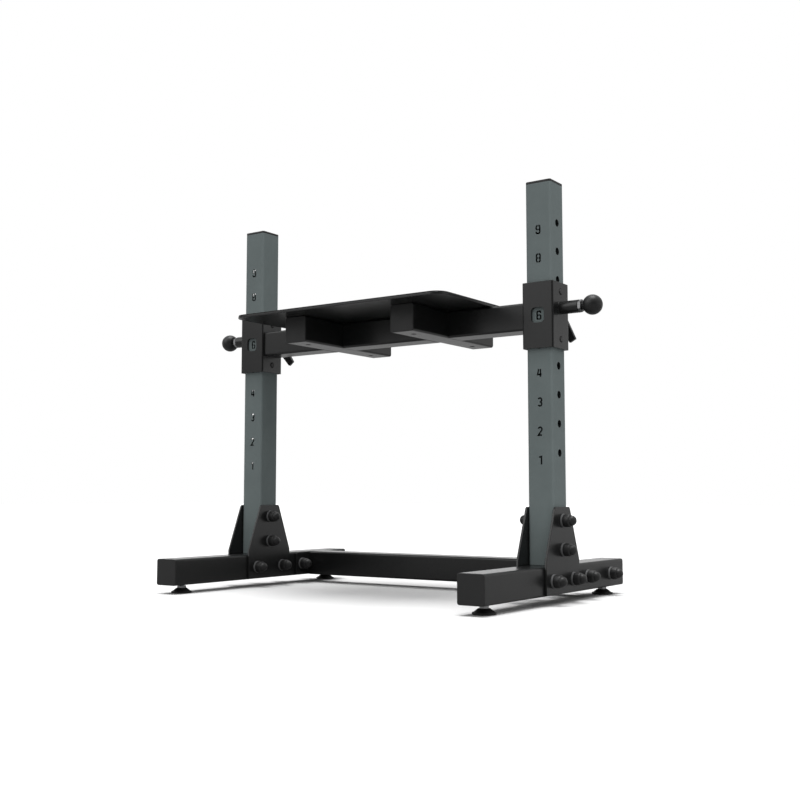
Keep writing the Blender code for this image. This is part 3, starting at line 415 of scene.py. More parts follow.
class Surface:
    """A material with its Principled shader, and short ways to feed that with textures."""

    def __init__(self, name):
        self.material = bpy.data.materials.new(name)
        self.material.use_nodes = True
        self.nodes = self.material.node_tree.nodes
        self.links = self.material.node_tree.links
        self.shader = self.nodes["Principled BSDF"]
        self.place = self.nodes.new("ShaderNodeTexCoord").outputs["Object"]

    def noise(self, scale, detail, roughness, stretch=(1, 1, 1)):
        """A noise texture with features of about 1/scale metres."""
        mapping = self.nodes.new("ShaderNodeMapping")
        mapping.inputs["Scale"].default_value = stretch
        self.links.new(self.place, mapping.inputs["Vector"])
        texture = self.nodes.new("ShaderNodeTexNoise")
        texture.inputs["Scale"].default_value = scale
        texture.inputs["Detail"].default_value = detail
        texture.inputs["Roughness"].default_value = roughness
        self.links.new(mapping.outputs[0], texture.inputs["Vector"])
        return texture.outputs["Fac"]

    def cells(self, scale):
        """A cell texture with rounded grains of about 1/scale metres."""
        texture = self.nodes.new("ShaderNodeTexVoronoi")
        texture.feature = "SMOOTH_F1"
        texture.inputs["Scale"].default_value = scale
        texture.inputs["Smoothness"].default_value = 0.6
        self.links.new(self.place, texture.inputs["Vector"])
        return texture.outputs["Distance"]

    def vary(self, name, value, first, last):
        """Let a texture run a socket of the shader between two colours or two levels."""
        spread = self.nodes.new("ShaderNodeMapRange")
        spread.inputs["From Min"].default_value = 0.3
        spread.inputs["From Max"].default_value = 0.7
        self.links.new(value, spread.inputs["Value"])
        if isinstance(first, tuple):
            mix = self.nodes.new("ShaderNodeMix")
            mix.data_type = "RGBA"
            self.links.new(spread.outputs[0], mix.inputs["Factor"])
            mix.inputs["A"].default_value = (*first, 1)
            mix.inputs["B"].default_value = (*last, 1)
            self.links.new(mix.outputs["Result"], self.shader.inputs[name])
        else:
            spread.inputs["To Min"].default_value = first
            spread.inputs["To Max"].default_value = last
            self.links.new(spread.outputs[0], self.shader.inputs[name])

    def tint(self, value, color, spread):
        """Let a texture run the colour from a darker to a lighter version of itself."""
        darker = tuple(c * (1 - spread) for c in color)
        self.vary("Base Color", value, darker, tuple(c * (1 + spread) for c in color))

    def bumps(self, *layers):
        """Stack bumps, each given as a height texture, a depth in metres and a strength."""
        normal = None
        for height, depth, strength in layers:
            node = self.nodes.new("ShaderNodeBump")
            node.inputs["Distance"].default_value = depth
            node.inputs["Strength"].default_value = strength
            self.links.new(height, node.inputs["Height"])
            if normal is not None:
                self.links.new(normal, node.inputs["Normal"])
            normal = node.outputs["Normal"]
        self.links.new(normal, self.shader.inputs["Normal"])


def powder_coat(name, color, roughness, specular):
    """Powder coat: slow changes in the film, orange peel of about 2 mm, and fine grain."""
    coat = Surface(name)
    cloud = coat.noise(scale=16, detail=4, roughness=0.6)
    peel = coat.noise(scale=480, detail=2, roughness=0.4)
    grain = coat.noise(scale=2600, detail=2, roughness=0.6)
    coat.tint(cloud, color, spread=0.05)
    coat.vary("Roughness", grain, roughness - 0.04, roughness + 0.05)
    coat.shader.inputs["Specular IOR Level"].default_value = specular
    coat.bumps((peel, 0.00016, 0.2), (grain, 0.00003, 0.3))
    return coat.material


def moulded_plastic(name, color, roughness, grain_scale, grain_depth, specular=0.5):
    """Moulded plastic: fine leather-like grain and slightly uneven sheen."""
    plastic = Surface(name)
    cloud = plastic.noise(scale=40, detail=3, roughness=0.6)
    grain = plastic.cells(grain_scale)
    fine = plastic.noise(scale=grain_scale * 2.5, detail=2, roughness=0.6)
    plastic.tint(cloud, color, spread=0.08)
    plastic.vary("Roughness", cloud, roughness - 0.04, roughness + 0.06)
    plastic.shader.inputs["Specular IOR Level"].default_value = specular
    plastic.bumps((grain, grain_depth, 0.5), (fine, grain_depth / 3, 0.4))
    return plastic.material


def zinc(name, color, roughness):
    """Zinc plate: spangled tone, fine drawn lines and a soft shine."""
    plate = Surface(name)
    cloud = plate.noise(scale=260, detail=4, roughness=0.65)
    lines = plate.noise(scale=900, detail=3, roughness=0.6, stretch=(0.12, 1, 1))
    plate.tint(cloud, color, spread=0.12)
    plate.vary("Roughness", lines, roughness - 0.06, roughness + 0.10)
    plate.shader.inputs["Metallic"].default_value = 1
    plate.shader.inputs["Specular Tint"].default_value = (0.5, 0.5, 0.5, 1)
    plate.bumps((lines, 0.00003, 0.35))
    return plate.material


def rubber_mat(name, color):
    """Rubber with raised pebbles of about 2.5 mm and a dusty sheen."""
    rubber = Surface(name)
    pebbles = rubber.cells(400)
    dust = rubber.noise(scale=60, detail=5, roughness=0.65)
    grain = rubber.noise(scale=3000, detail=2, roughness=0.6)
    rubber.tint(dust, color, spread=0.14)
    rubber.vary("Roughness", dust, 0.68, 0.82)
    rubber.shader.inputs["Specular IOR Level"].default_value = 0.35
    rubber.bumps((pebbles, -0.0006, 0.8), (grain, 0.00005, 0.3))
    return rubber.material


# Plastics: name, colour, roughness, grains per metre, depth of the grain, specular level
PLASTICS = {
    "plastic": ("plug_plastic", (0.017, 0.0172, 0.0175), 0.46, 1400, 0.00005, 0.38),
    "cover": ("cover_plastic", (0.021, 0.0212, 0.0215), 0.40, 1800, 0.00003, 0.36),
    # The washer rings are black plastic like the covers; their light grey tone is a painted
    # highlight along the rim
    "washer": ("washer_painted_highlight", (0.155, 0.157, 0.160), 0.36, 1800, 0.00002),
    "knob": ("knob_plastic", (0.016, 0.0165, 0.017), 0.42, 2400, 0.00001, 0.36),
    "liner": ("liner_nylon", (0.030, 0.030, 0.031), 0.50, 1600, 0.00002),
    "pad": ("pad_rubber", (0.012, 0.012, 0.0122), 0.60, 900, 0.00010),
    # Near-black plastic for the walls of the uprights' holes and digits: painted shade inside the
    # cuts, so that they read dark
    "cut_edge_painted_shade": ("cut_edge_painted_shade", (0.012, 0.013, 0.013), 0.6, 900, 0.00003),
}


def make_materials():
    """The materials by the names that the pieces ask for."""
    paint = {
        "grey": powder_coat("grey_coat", (0.234, 0.276, 0.277), roughness=0.60, specular=0.10),
        "black": powder_coat("black_coat", (0.0125, 0.0128, 0.0130), roughness=0.27, specular=0.42),
        "mat": rubber_mat("deck_rubber", (0.020, 0.020, 0.0205)),
        "zinc": zinc("zinc_plate", (0.28, 0.283, 0.286), roughness=0.34),
        # Dark steel on the pull pins is painted shade in the gap between nut and ball knob; the
        # clamp screws share it
        "dark_steel": zinc("dark_steel_painted_shade", (0.05, 0.05, 0.052), roughness=0.40),
    }
    paint.update({key: moulded_plastic(*row) for key, row in PLASTICS.items()})
    return paint


# Stage

def make_camera():
    camera_data = bpy.data.cameras.new("camera")
    camera_data.sensor_width = SENSOR_MM
    camera_data.lens = FOCAL_PIXELS * SENSOR_MM / PICTURE_WIDTH
    camera_data.clip_end = CAMERA_REACH
    camera = bpy.data.objects.new("camera", camera_data)
    camera.location = CAMERA_PLACE
    camera.rotation_euler = (math.radians(90 + CAMERA_PITCH), 0, math.radians(CAMERA_YAW))
    bpy.context.scene.collection.objects.link(camera)
    bpy.context.scene.camera = camera


def math_node(nodes, links, operation, *values):
    """A math node whose inputs are numbers or other nodes' outputs."""
    node = nodes.new("ShaderNodeMath")
    node.operation = operation
    for socket, value in zip(node.inputs, values):
        if isinstance(value, (int, float)):
            socket.default_value = value
        else:
            links.new(value, socket)
    return node.outputs[0]


def make_lamp():
    """A wide soft lamp overhead."""
    lamp_data = bpy.data.lights.new("softbox", "SUN")
    lamp_data.energy = SUN_STRENGTH
    lamp_data.angle = math.radians(SUN_ANGLE)
    lamp = bpy.data.objects.new("softbox", lamp_data)
    bpy.context.scene.collection.objects.link(lamp)


def make_studio():
    """The studio around the object: white to the camera, banded to reflections."""
    world = bpy.data.worlds.new("studio")
    bpy.context.scene.world = world
    world.use_nodes = True
    nodes, links = world.node_tree.nodes, world.node_tree.links
    background = nodes["Background"]
    background.inputs["Color"].default_value = (1, 1, 1, 1)
    direction = nodes.new("ShaderNodeTexCoord").outputs["Generated"]
    split = nodes.new("ShaderNodeSeparateXYZ")
    links.new(direction, split.inputs[0])

    def lobe(towards, low, high, level_low, level_high):
        """A level that depends on how close a direction comes to the given one."""
        dot = nodes.new("ShaderNodeVectorMath")
        dot.operation = "DOT_PRODUCT"
        links.new(direction, dot.inputs[0])
        dot.inputs[1].default_value = Vector(towards).normalized()
        spread = nodes.new("ShaderNodeMapRange")
        spread.interpolation_type = "SMOOTHSTEP"
        names = ("From Min", "From Max", "To Min", "To Max")
        for name, value in zip(names, (low, high, level_low, level_high)):
            spread.inputs[name].default_value = value
        links.new(dot.outputs["Value"], spread.inputs["Value"])
        return spread.outputs[0]

    def by_height(steps):
        """A level that changes with the height of a direction."""
        bands = nodes.new("ShaderNodeValToRGB")
        for _ in steps[2:]:
            bands.color_ramp.elements.new(0.5)
        for element, (position, level) in zip(bands.color_ramp.elements, steps):
            element.position = position
            element.color = (level, level, level, 1)
        links.new(split.outputs["Z"], bands.inputs[0])
        return bands.outputs["Color"]

    reflected = by_height(BANDS)
    for shape in LOBES:
        reflected = math_node(nodes, links, "MULTIPLY", reflected, lobe(*shape))
    reflected = math_node(nodes, links, "ADD", reflected, lobe(*SOFTBOX))
    fill = math_node(nodes, links, "ADD", by_height(FILL_BANDS), lobe(*FRONT_FILL))
    rays = nodes.new("ShaderNodeLightPath").outputs
    seen = math_node(nodes, links, "MAXIMUM", rays["Is Camera Ray"], rays["Is Transmission Ray"])
    light = nodes.new("ShaderNodeMix")
    links.new(rays["Is Glossy Ray"], light.inputs["Factor"])
    links.new(fill, light.inputs["A"])
    links.new(reflected, light.inputs["B"])
    level = nodes.new("ShaderNodeMix")
    links.new(seen, level.inputs["Factor"])
    links.new(light.outputs[0], level.inputs["A"])
    level.inputs["B"].default_value = 1
    links.new(level.outputs[0], background.inputs["Strength"])


def make_floor():
    """A pale floor: white where the camera sees it lit, with the object's shadow."""
    corners = [(x * FLOOR_HALF, y * FLOOR_HALF, 0) for x, y in ((-1, -1), (1, -1), (1, 1), (-1, 1))]
    mesh = bpy.data.meshes.new("floor")
    mesh.from_pydata(corners, [], [(0, 1, 2, 3)])
    floor = bpy.data.objects.new("floor", mesh)
    bpy.context.scene.collection.objects.link(floor)
    surface = Surface("floor_white")
    nodes, links, shader = surface.nodes, surface.links, surface.shader
    shader.inputs["Base Color"].default_value = (FLOOR_TONE, FLOOR_TONE, FLOOR_TONE, 1)
    shader.inputs["Roughness"].default_value = FLOOR_ROUGHNESS
    shader.inputs["Specular IOR Level"].default_value = 0.0
    rays = nodes.new("ShaderNodeLightPath").outputs
    seen = math_node(nodes, links, "MAXIMUM", rays["Is Camera Ray"], rays["Is Transmission Ray"])
    share = math_node(nodes, links, "MULTIPLY_ADD", rays["Is Glossy Ray"], REFLECTED_WHITE, seen)
    white = nodes.new("ShaderNodeBsdfDiffuse")
    white.inputs["Color"].default_value = (1, 1, 1, 1)
    mix = nodes.new("ShaderNodeMixShader")
    links.new(share, mix.inputs[0])
    links.new(shader.outputs[0], mix.inputs[1])
    links.new(white.outputs[0], mix.inputs[2])
    links.new(mix.outputs[0], nodes["Material Output"].inputs["Surface"])
    mesh.materials.append(surface.material)


# The object

def at(x, y, z):
    return Matrix.Translation((x, y, z))


def span(sign, near, far):
    """Two distances from the middle on the side that sign names, the lower one first."""
    return sorted((sign * near, sign * far))


def digit_strokes(digit):
    """Centre lines of a stencil digit as (x, z) points, and those that branch off them.

    They are drawn in shares of a and b, half of the width and half of the height.
    """
    a = (DIGIT_WIDTH - DIGIT_STROKE) / 2
    b = (DIGIT_HEIGHT - DIGIT_STROKE) / 2
    bowl = (a, b / 2)
    upper = (0, b / 2)
    lower = (0, -b / 2)
    gap = DIGIT_BRIDGE / 2
    if digit == 1:
        return [[(-0.75 * a, 0.84 * b), (0.55 * a, b), (0.55 * a, -b)]], []
    if digit == 2:
        return [arc((0, b - a), (a, a), 165, -25) + [(-a, -b), (a, -b)]], []
    if digit == 3:
        return [arc(upper, bowl, 150, -40) + [(0.3 * a, 0)] + arc(lower, bowl, 40, -150)], []
    if digit == 4:
        stem = 0.5 * a
        bar = -0.4 * b
        slope_top = (stem - 0.9 * DIGIT_STROKE - DIGIT_BRIDGE, b)
        return [[slope_top, (-1.1 * a, bar), (1.1 * a, bar)]], [[(stem, b), (stem, -b)]]
    if digit == 5:
        belly = arc((0, -0.45 * b), (a, 0.55 * b), 110, -150)
        return [[(a, b), (-a, b), (-a, 0.12 * b)] + belly], []
    if digit == 7:
        return [[(-a, b), (a, b), (-0.3 * a, -b)]], []
    if digit == 8:
        half = bent([(-gap, b), (-a, b), (-a, -b), (-gap, -b)], DIGIT_BEND)
        stub = [(-gap, 0), (-a, 0)]
        return [half, [(-x, z) for x, z in half[::-1]]], [stub, [(-x, z) for x, z in stub]]
    loop = bent([(-gap, b), (-a, b), (-a, 0), (-gap, 0)], DIGIT_BEND)
    tail = bent([(gap, b), (a, b), (a, -b), (-a, -b), (-a, -0.5 * b)], DIGIT_BEND)
    stub = [(gap, 0), (a, 0)]
    if digit == 9:
        return [loop, tail], [stub]
    return [[(-x, -z) for x, z in stroke] for stroke in (loop, tail)], [[(-x, -z) for x, z in stub]]


def add_plug(bm, thickness, matrix):
    """End plug of a square tube, the plate's back at height 0."""
    spigot_side = TUBE_SIDE - 2 * (TUBE_WALL + SEAT_GAP)
    spigot = (spigot_side, spigot_side, SPIGOT_CORNER)
    plate = (TUBE_SIDE, TUBE_SIDE, TUBE_CORNER)
    add_slab(bm, plate, 0, thickness, PLUG_RIM, matrix, both=False)
    return add_slab(bm, spigot, -PLUG_DEPTH, -SEAT_GAP, SPIGOT_RIM, matrix)


def make_feet(paint):
    """Foot tubes with plugs, and the levelling feet under them."""
    half = FOOT_HALF - PLUG_THICKNESS - SEAT_GAP
    for side, sign in SIDES.items():
        x = sign * UPRIGHT_X
        place = at(x, 0, TUBE_CENTRE_Z) @ ALONG_Y
        bm = add_tube(bmesh.new(), SQUARE_TUBE, -half, half, place)
        dress(f"foot_tube_{side}", "coated", bm, paint["black"], "frame", "black_powder_coat")
        for end, y_sign in ENDS.items():
            place = at(x, y_sign * (half + SEAT_GAP), TUBE_CENTRE_Z) @ TO_Y[y_sign]
            bm = add_plug(bmesh.new(), PLUG_THICKNESS, place)
            node = f"foot_tube_plug_{side}_{end}"
            dress(node, "moulded", bm, paint["plastic"], "frame", "black_plastic")
            make_levelling_foot(f"{side}_{end}", at(x, y_sign * PAD_Y, 0), paint)


def make_levelling_foot(corner, place, paint):
    """A swivel pad, a threaded stud, and a hexagon to turn it by."""
    body = f"foot_{corner}"
    rim, ease, steps = 0.0225, 0.0010, 3
    profile = [(0, 0.0006), (0.0190, 0.0006), (0.0196, 0.0)]          # hollow underside
    profile += bow((rim, ease), ease, -90, 0, steps) + bow((rim, 0.0036), ease, 0, 70, steps)
    profile += [(0.0205, 0.0050), (0.0134, 0.0108)]                   # cone
    profile += bow((0.0110, 0.0110), ease, 30, 90, steps) + [(0.0, 0.0120)]
    bm = add_turned(bmesh.new(), profile, ROUND_SIDES, place)
    node = f"levelling_foot_{corner}"
    make_piece(f"levelling_pad_{corner}", bm, paint["pad"], body, "black_rubber", node)
    profile = threaded(radius=0.0055, root=0.0122, low=0.0168, high=0.0458, pitch=0.00175)
    bm = add_turned(bmesh.new(), profile, 24, place)
    make_piece(f"levelling_stud_{corner}", bm, paint["zinc"], body, "bright_zinc")
    bm, trim = chamfered_hexagon(
        0.018, low=0.0119, high=0.0170, radii=(0.0091, 0.0105), chamfer=0.0007, sides=48,
        matrix=place,
    )
    make_piece(
        f"levelling_hexagon_{corner}", bm, paint["zinc"], body, "bright_zinc",
        work=[("INTERSECT", trim)],
    )


def threaded(radius, root, low, high, pitch):
    """Profile of a stud that starts at root and has thread ridges between low and high."""
    core = radius - 0.4 * pitch
    profile = [(0, root), (core, root), (core, low)]
    height = low
    while height + pitch <= high:
        profile += [(radius, height + pitch * 0.4), (radius, height + pitch * 0.55)]
        profile.append((core, height + pitch))
        height += pitch
    return profile + [(core, high), (0, high)]


def make_cross_tube(paint):
    """The rear tube between the foot tubes, with its flanges."""
    width, height, thickness = FLANGE_SIZE
    flange = (width, height, FLANGE_CORNER)
    outer_face = UPRIGHT_X - TUBE_SIDE / 2 - SEAT_GAP
    inner_face = outer_face - thickness
    tube_half = inner_face + FLANGE_OVERLAP
    place = at(0, CROSS_TUBE_Y, TUBE_CENTRE_Z)
    bm = add_tube(bmesh.new(), SQUARE_TUBE, -tube_half, tube_half, place @ ALONG_X)
    for sign in SIDES.values():
        low, high = span(sign, inner_face, outer_face)
        add_slab(bm, flange, low, high, FLANGE_RIM, place @ PLATE_ALONG_X)
    dress("rear_cross_tube", "coated", bm, paint["black"], "frame", "black_powder_coat")


def make_uprights(paint):
    """The uprights with their selector holes and numbers, and the caps on them."""
    face = TUBE_SIDE / 2
    depth = 2 * TUBE_WALL
    for side, sign in SIDES.items():
        place = at(sign * UPRIGHT_X, 0, UPRIGHT_BASE)
        bm = add_tube(bmesh.new(), SQUARE_TUBE, 0, UPRIGHT_LENGTH, place)
        holes = bmesh.new()
        branches = bmesh.new()
        for number in range(1, 10):
            height = FIRST_HOLE_HEIGHT + (number - 1) * HOLE_PITCH
            spot = place @ at(sign * face, 0, height) @ ALONG_X
            add_prism(holes, circle(HOLE_RADIUS, SMALL_SIDES), -depth, depth, spot)
            spot = place @ at(0, -face, height - DIGIT_DROP) @ TO_Y[-1]
            for target, strokes in zip((holes, branches), digit_strokes(number)):
                for stroke in strokes:
                    add_prism(target, ribbon(stroke, DIGIT_STROKE), -depth, depth, spot)
        # The cut walls of the holes and digits take the near-black plastic: painted shade inside
        # the cuts
        dress(
            f"upright_{side}", "coated", bm, paint["grey"], "frame", "grey_powder_coat",
            bevel=0.0002, work=[("DIFFERENCE", holes), ("DIFFERENCE", branches)],
            cut_material=paint["cut_edge_painted_shade"],
        )
        place = place @ at(0, 0, UPRIGHT_LENGTH + SEAT_GAP)
        bm = add_plug(bmesh.new(), CAP_THICKNESS, place)
        dress(f"upright_cap_{side}", "moulded", bm, paint["plastic"], "frame", "black_plastic")


def gusset_outline():
    """Outline of a gusset: a rectangle beside the foot tube and a taper beside the upright."""
    top = (0, GUSSET_APEX[1])
    right = [(GUSSET_SHOULDER[0], GUSSET_BOTTOM)]
    right += bent([GUSSET_SHOULDER, GUSSET_APEX, top], GUSSET_BLUNT)[:-1]
    return right + [(-x, z) for x, z in right[::-1]]


def make_gussets(paint):
    """Plates on both sides of each upright."""
    for side, sign in SIDES.items():
        place = at(sign * UPRIGHT_X, 0, FOOT_TOP) @ PLATE_ALONG_X
        for name, face in (("outer", sign), ("inner", -sign)):
            low, high = span(face, TUBE_SIDE / 2 + SEAT_GAP, GUSSET_FACE)
            bm = add_prism(bmesh.new(), gusset_outline(), low, high, place)
            dress(
                f"gusset_{side}_{name}", "coated", bm, paint["black"], "frame",
                "black_powder_coat", bevel=0.0007, segments=3,
            )


def add_cover(covers, washers, matrix):
    """A domed cap over a bolt end, and the washer under it that stands on height 0."""
    profile = [(0, 0.0039), (0.0128, 0.0039), (0.0134, 0.0048), (0.0137, 0.0066), (0.0135, 0.0105)]
    profile += bow((0.0088, 0.0152), 0.0043, 5, 60, steps=6)          # shoulder
    profile += bow((0, 0.0193), 0.0108, -2, 90, steps=14)             # dome
    add_turned(covers, profile, ROUND_SIDES, matrix)
    profile = [(0, 0.0), (0.0139, 0.0), (0.0143, 0.0004)]
    profile += [(0.0143, 0.0036), (0.0139, 0.0041), (0, 0.0041)]
    add_turned(washers, profile, ROUND_SIDES, matrix)


def make_bolts(paint):
    """Covered bolts through the uprights, the foot tubes and the cross tube's flanges."""
    flange_face = TUBE_SIDE / 2 + SEAT_GAP + FLANGE_SIZE[2]
    gussets = {1: GUSSET_FACE, -1: GUSSET_FACE}
    for side, sign in SIDES.items():
        rows = [
            (f"upright_bolt_{side}_{name}", 0, FOOT_TOP + height, gussets)
            for name, height in zip(("lower", "upper"), BOLT_HEIGHTS)
        ]
        rows += [
            (f"foot_bolt_{side}_{end}", y, TUBE_CENTRE_Z, gussets)
            for end, y in zip(ENDS, FOOT_BOLT_Y)
        ]
        rows += [
            (f"cross_tube_bolt_{side}_{end}", y, TUBE_CENTRE_Z,
             {sign: TUBE_SIDE / 2, -sign: flange_face})
            for end, y in zip(ENDS, FLANGE_BOLT_Y)
        ]
        for node, y, z, faces in rows:
            covers = bmesh.new()
            washers = bmesh.new()
            for face, distance in faces.items():
                outside = at(face * (distance + SEAT_GAP), 0, 0) @ TO_X[face]
                add_cover(covers, washers, at(sign * UPRIGHT_X, y, z) @ outside)
            dress(node, "covers", covers, paint["cover"], "frame", "black_plastic")
            # The washers' light grey is a painted highlight on their rims
            make_piece(f"{node}_washers", washers, paint["washer"], "frame", "black_plastic")


def make_sleeve(side, paint):
    """A sleeve with the pull pin's barrel and the clamp's boss welded on."""
    sign = SIDES[side]
    place = at(sign * UPRIGHT_X, 0, CARRIAGE_Z)
    pin_line = place @ at(0, 0, PIN_HEIGHT) @ TO_X[sign]
    clamp_line = place @ ALONG_Y
    wall = (SLEEVE_SIDE - SLEEVE_INNER) / 2
    section = (SLEEVE_SIDE, wall, SLEEVE_CORNER)
    bm = add_tube(bmesh.new(), section, -SLEEVE_LENGTH / 2, SLEEVE_LENGTH / 2, place)
    welded = bmesh.new()
    root = SLEEVE_FACE - wall / 2
    bead = BARREL_RADIUS + 0.0005
    ease = 0.0006
    for length, line in ((BARREL_LENGTH, pin_line), (BOSS_LENGTH, clamp_line)):
        end = SLEEVE_FACE + length
        profile = [(0, root), (bead, root), (bead, SLEEVE_FACE + 0.0001)]
        profile += [(BARREL_RADIUS, SLEEVE_FACE + 0.0007), (BARREL_RADIUS, end - ease)]
        profile += [(BARREL_RADIUS - ease, end), (0, end)]
        add_turned(welded, profile, ROUND_SIDES, line)
    cuts = bmesh.new()
    inside = SLEEVE_FACE - 2 * wall
    outside = SLEEVE_FACE + wall
    add_prism(cuts, circle(BARREL_BORE), inside, SLEEVE_FACE + BARREL_LENGTH + wall, pin_line)
    add_prism(cuts, circle(BOSS_BORE), inside, SLEEVE_FACE + BOSS_LENGTH + wall, clamp_line)
    add_prism(cuts, rounded_rectangle(*WINDOW), -outside, -inside, clamp_line)
    for x_sign, z_sign in BUTTON_SPOTS:
        low, high = span(x_sign, inside, outside)
        spot = place @ at(0, 0, z_sign * BUTTON_OFFSET) @ ALONG_X
        add_prism(cuts, circle(BUTTON_HOLE_RADIUS, SMALL_SIDES), low, high, spot)
    dress(
        f"sleeve_{side}", "coated", bm, paint["black"], "platform", "black_powder_coat",
        bevel=0.0003, work=[("UNION", welded), ("DIFFERENCE", cuts)],
    )


def make_liner(side, paint):
    """The liner of a sleeve, with the buttons that hold it in the sleeve's holes."""
    sign = SIDES[side]
    place = at(sign * UPRIGHT_X, 0, CARRIAGE_Z)
    outer_side = SLEEVE_INNER - 2 * SEAT_GAP
    face = outer_side / 2
    section = (outer_side, LINER_WALL, LINER_CORNER)
    bm = add_tube(bmesh.new(), section, -LINER_LENGTH / 2, LINER_LENGTH / 2, place)
    cuts = bmesh.new()
    inside = face - 2 * LINER_WALL
    outside = face + LINER_WALL
    low, high = span(sign, inside, outside)
    pin_line = place @ at(0, 0, PIN_HEIGHT) @ ALONG_X
    add_prism(cuts, circle(HOLE_RADIUS + 0.0001, SMALL_SIDES), low, high, pin_line)
    add_prism(cuts, circle(BOSS_BORE, SMALL_SIDES), inside, outside, place @ ALONG_Y)
    add_prism(cuts, rounded_rectangle(*WINDOW), -outside, -inside, place @ ALONG_Y)
    buttons = bmesh.new()
    root = face - LINER_WALL / 2
    tip = SLEEVE_FACE + BUTTON_RISE
    ease = 0.0014
    profile = [(0, root), (BUTTON_RADIUS, root), (BUTTON_RADIUS, tip - ease - 0.0002)]
    profile += bow((BUTTON_RADIUS - ease, tip - ease), ease, 10, 90, steps=5)
    profile.append((0, tip + 0.0001))
    for x_sign, z_sign in BUTTON_SPOTS:
        spot = place @ at(0, 0, z_sign * BUTTON_OFFSET) @ TO_X[x_sign]
        add_turned(buttons, profile, SMALL_SIDES, spot)
    dress(
        f"sleeve_liner_{side}", "moulded", bm, paint["liner"], "platform", "liner_plastic",
        work=[("DIFFERENCE", cuts), ("UNION", buttons)],
    )


def make_pull_pin(side, paint):
    """Nut, pin and ball knob of a spring pull pin."""
    sign = SIDES[side]
    body = f"pin_{side}"
    place = at(sign * UPRIGHT_X, 0, CARRIAGE_Z + PIN_HEIGHT) @ TO_X[sign]
    seat = SLEEVE_FACE + BARREL_LENGTH + SEAT_GAP
    nut_end = seat + NUT_LENGTH
    bm, trim = chamfered_hexagon(
        NUT_FLATS, seat, nut_end, radii=(0.0118, 0.0141), chamfer=0.0012, sides=ROUND_SIDES,
        matrix=place,
    )
    recess_radius, recess_depth = 0.0085, 0.0058
    recess = add_prism(
        bmesh.new(), circle(recess_radius), nut_end - recess_depth, nut_end + 0.001, place
    )
    dress(
        f"pin_nut_{side}", "plated", bm, paint["zinc"], "platform", "bright_zinc",
        work=[("INTERSECT", trim), ("DIFFERENCE", recess)],
    )

    nose = TUBE_SIDE / 2 + NOSE_GAP
    collar = nose + 0.0115
    collar_end = collar + COLLAR_LENGTH
    flat = nut_end + 0.005 + SEAT_GAP
    rod_end = flat + 0.0155
    ease = 0.0017
    profile = [(0, nose), (0.0056, nose)]
    profile += bow((PIN_RADIUS - ease, nose + ease), ease, -80, 0, steps=4)
    profile += [(PIN_RADIUS, collar), (COLLAR_RADIUS, collar), (COLLAR_RADIUS, collar_end)]
    profile += [(ROD_RADIUS, collar_end), (ROD_RADIUS, rod_end), (0, rod_end)]
    bm = add_turned(bmesh.new(), profile, SMALL_SIDES, place)
    # The pin's dark steel is painted shade between the nut and the ball knob
    dress(f"pull_pin_{side}", "turned", bm, paint["dark_steel"], body, "bright_zinc")

    neck_end = nut_end - 0.0005
    ease = 0.0004
    profile = [(0, neck_end), (NECK_RADIUS - ease, neck_end), (NECK_RADIUS, neck_end + ease)]
    profile += [(NECK_RADIUS, flat - 0.0003), (NECK_RADIUS + ease, flat)]
    start = 3 - math.degrees(math.asin(BALL_CENTRE / BALL_RADIUS))
    profile += bow((0, flat + BALL_CENTRE), BALL_RADIUS, start, 90, steps=34)
    bm = add_turned(bmesh.new(), profile, 72, place)
    dress(f"ball_knob_{side}", "moulded", bm, paint["knob"], body, "black_knob")


def make_clamp_lever(side, paint):
    """A clamping lever, its stud, and the screw that holds the lever on it."""
    body = f"clamp_{side}"
    hub_seat = SLEEVE_FACE + BOSS_LENGTH + SEAT_GAP
    back = SLEEVE_FACE + LEVER_BACK
    angle = math.radians(LEVER_ANGLES[side])
    place = at(SIDES[side] * UPRIGHT_X, 0, CARRIAGE_Z) @ Matrix.Rotation(angle, 4, "Y")
    lean = math.degrees(math.asin((HUB_RADIUS - LEVER_END) / LEVER_REACH))
    outline = bow((0, 0), HUB_RADIUS, 90 - lean, 270 + lean, steps=28)
    outline += [(LEVER_REACH, -LEVER_END), (LEVER_REACH, LEVER_END)]
    bm = add_prism(bmesh.new(), outline, -back, -back + LEVER_THICKNESS, place @ TO_Y[-1])
    post_radius, ease = 0.0112, 0.0006
    post_end = back - 0.0042
    profile = [(0, hub_seat), (post_radius - ease, hub_seat), (post_radius, hub_seat + ease)]
    profile += [(post_radius, post_end), (0, post_end)]
    post = add_turned(bmesh.new(), profile, ROUND_SIDES, place @ ALONG_Y)
    dress(
        f"clamp_lever_{side}", "moulded", bm, paint["knob"], body, "black_knob",
        bevel=0.0013, segments=4, work=[("UNION", post)],
    )

    tip = TUBE_SIDE / 2 + 0.0006
    stud_radius, ease = 0.0060, 0.0010
    stud_end = hub_seat + 0.002
    profile = [(0, tip), (stud_radius - ease, tip), (stud_radius, tip + ease)]
    profile += [(stud_radius, stud_end), (0, stud_end)]
    bm = add_turned(bmesh.new(), profile, 32, place @ ALONG_Y)
    make_piece(f"clamp_stud_{side}", bm, paint["zinc"], body, "bright_zinc")
    screw_radius, ease = 0.0046, 0.0006
    profile = [(0, back - ease), (screw_radius, back - ease), (screw_radius, back)]
    profile += [(screw_radius - ease, back + 0.0004), (0, back + ease)]
    bm = add_turned(bmesh.new(), profile, SMALL_SIDES, place @ ALONG_Y)
    make_piece(f"clamp_screw_{side}", bm, paint["dark_steel"], body, "bright_zinc")


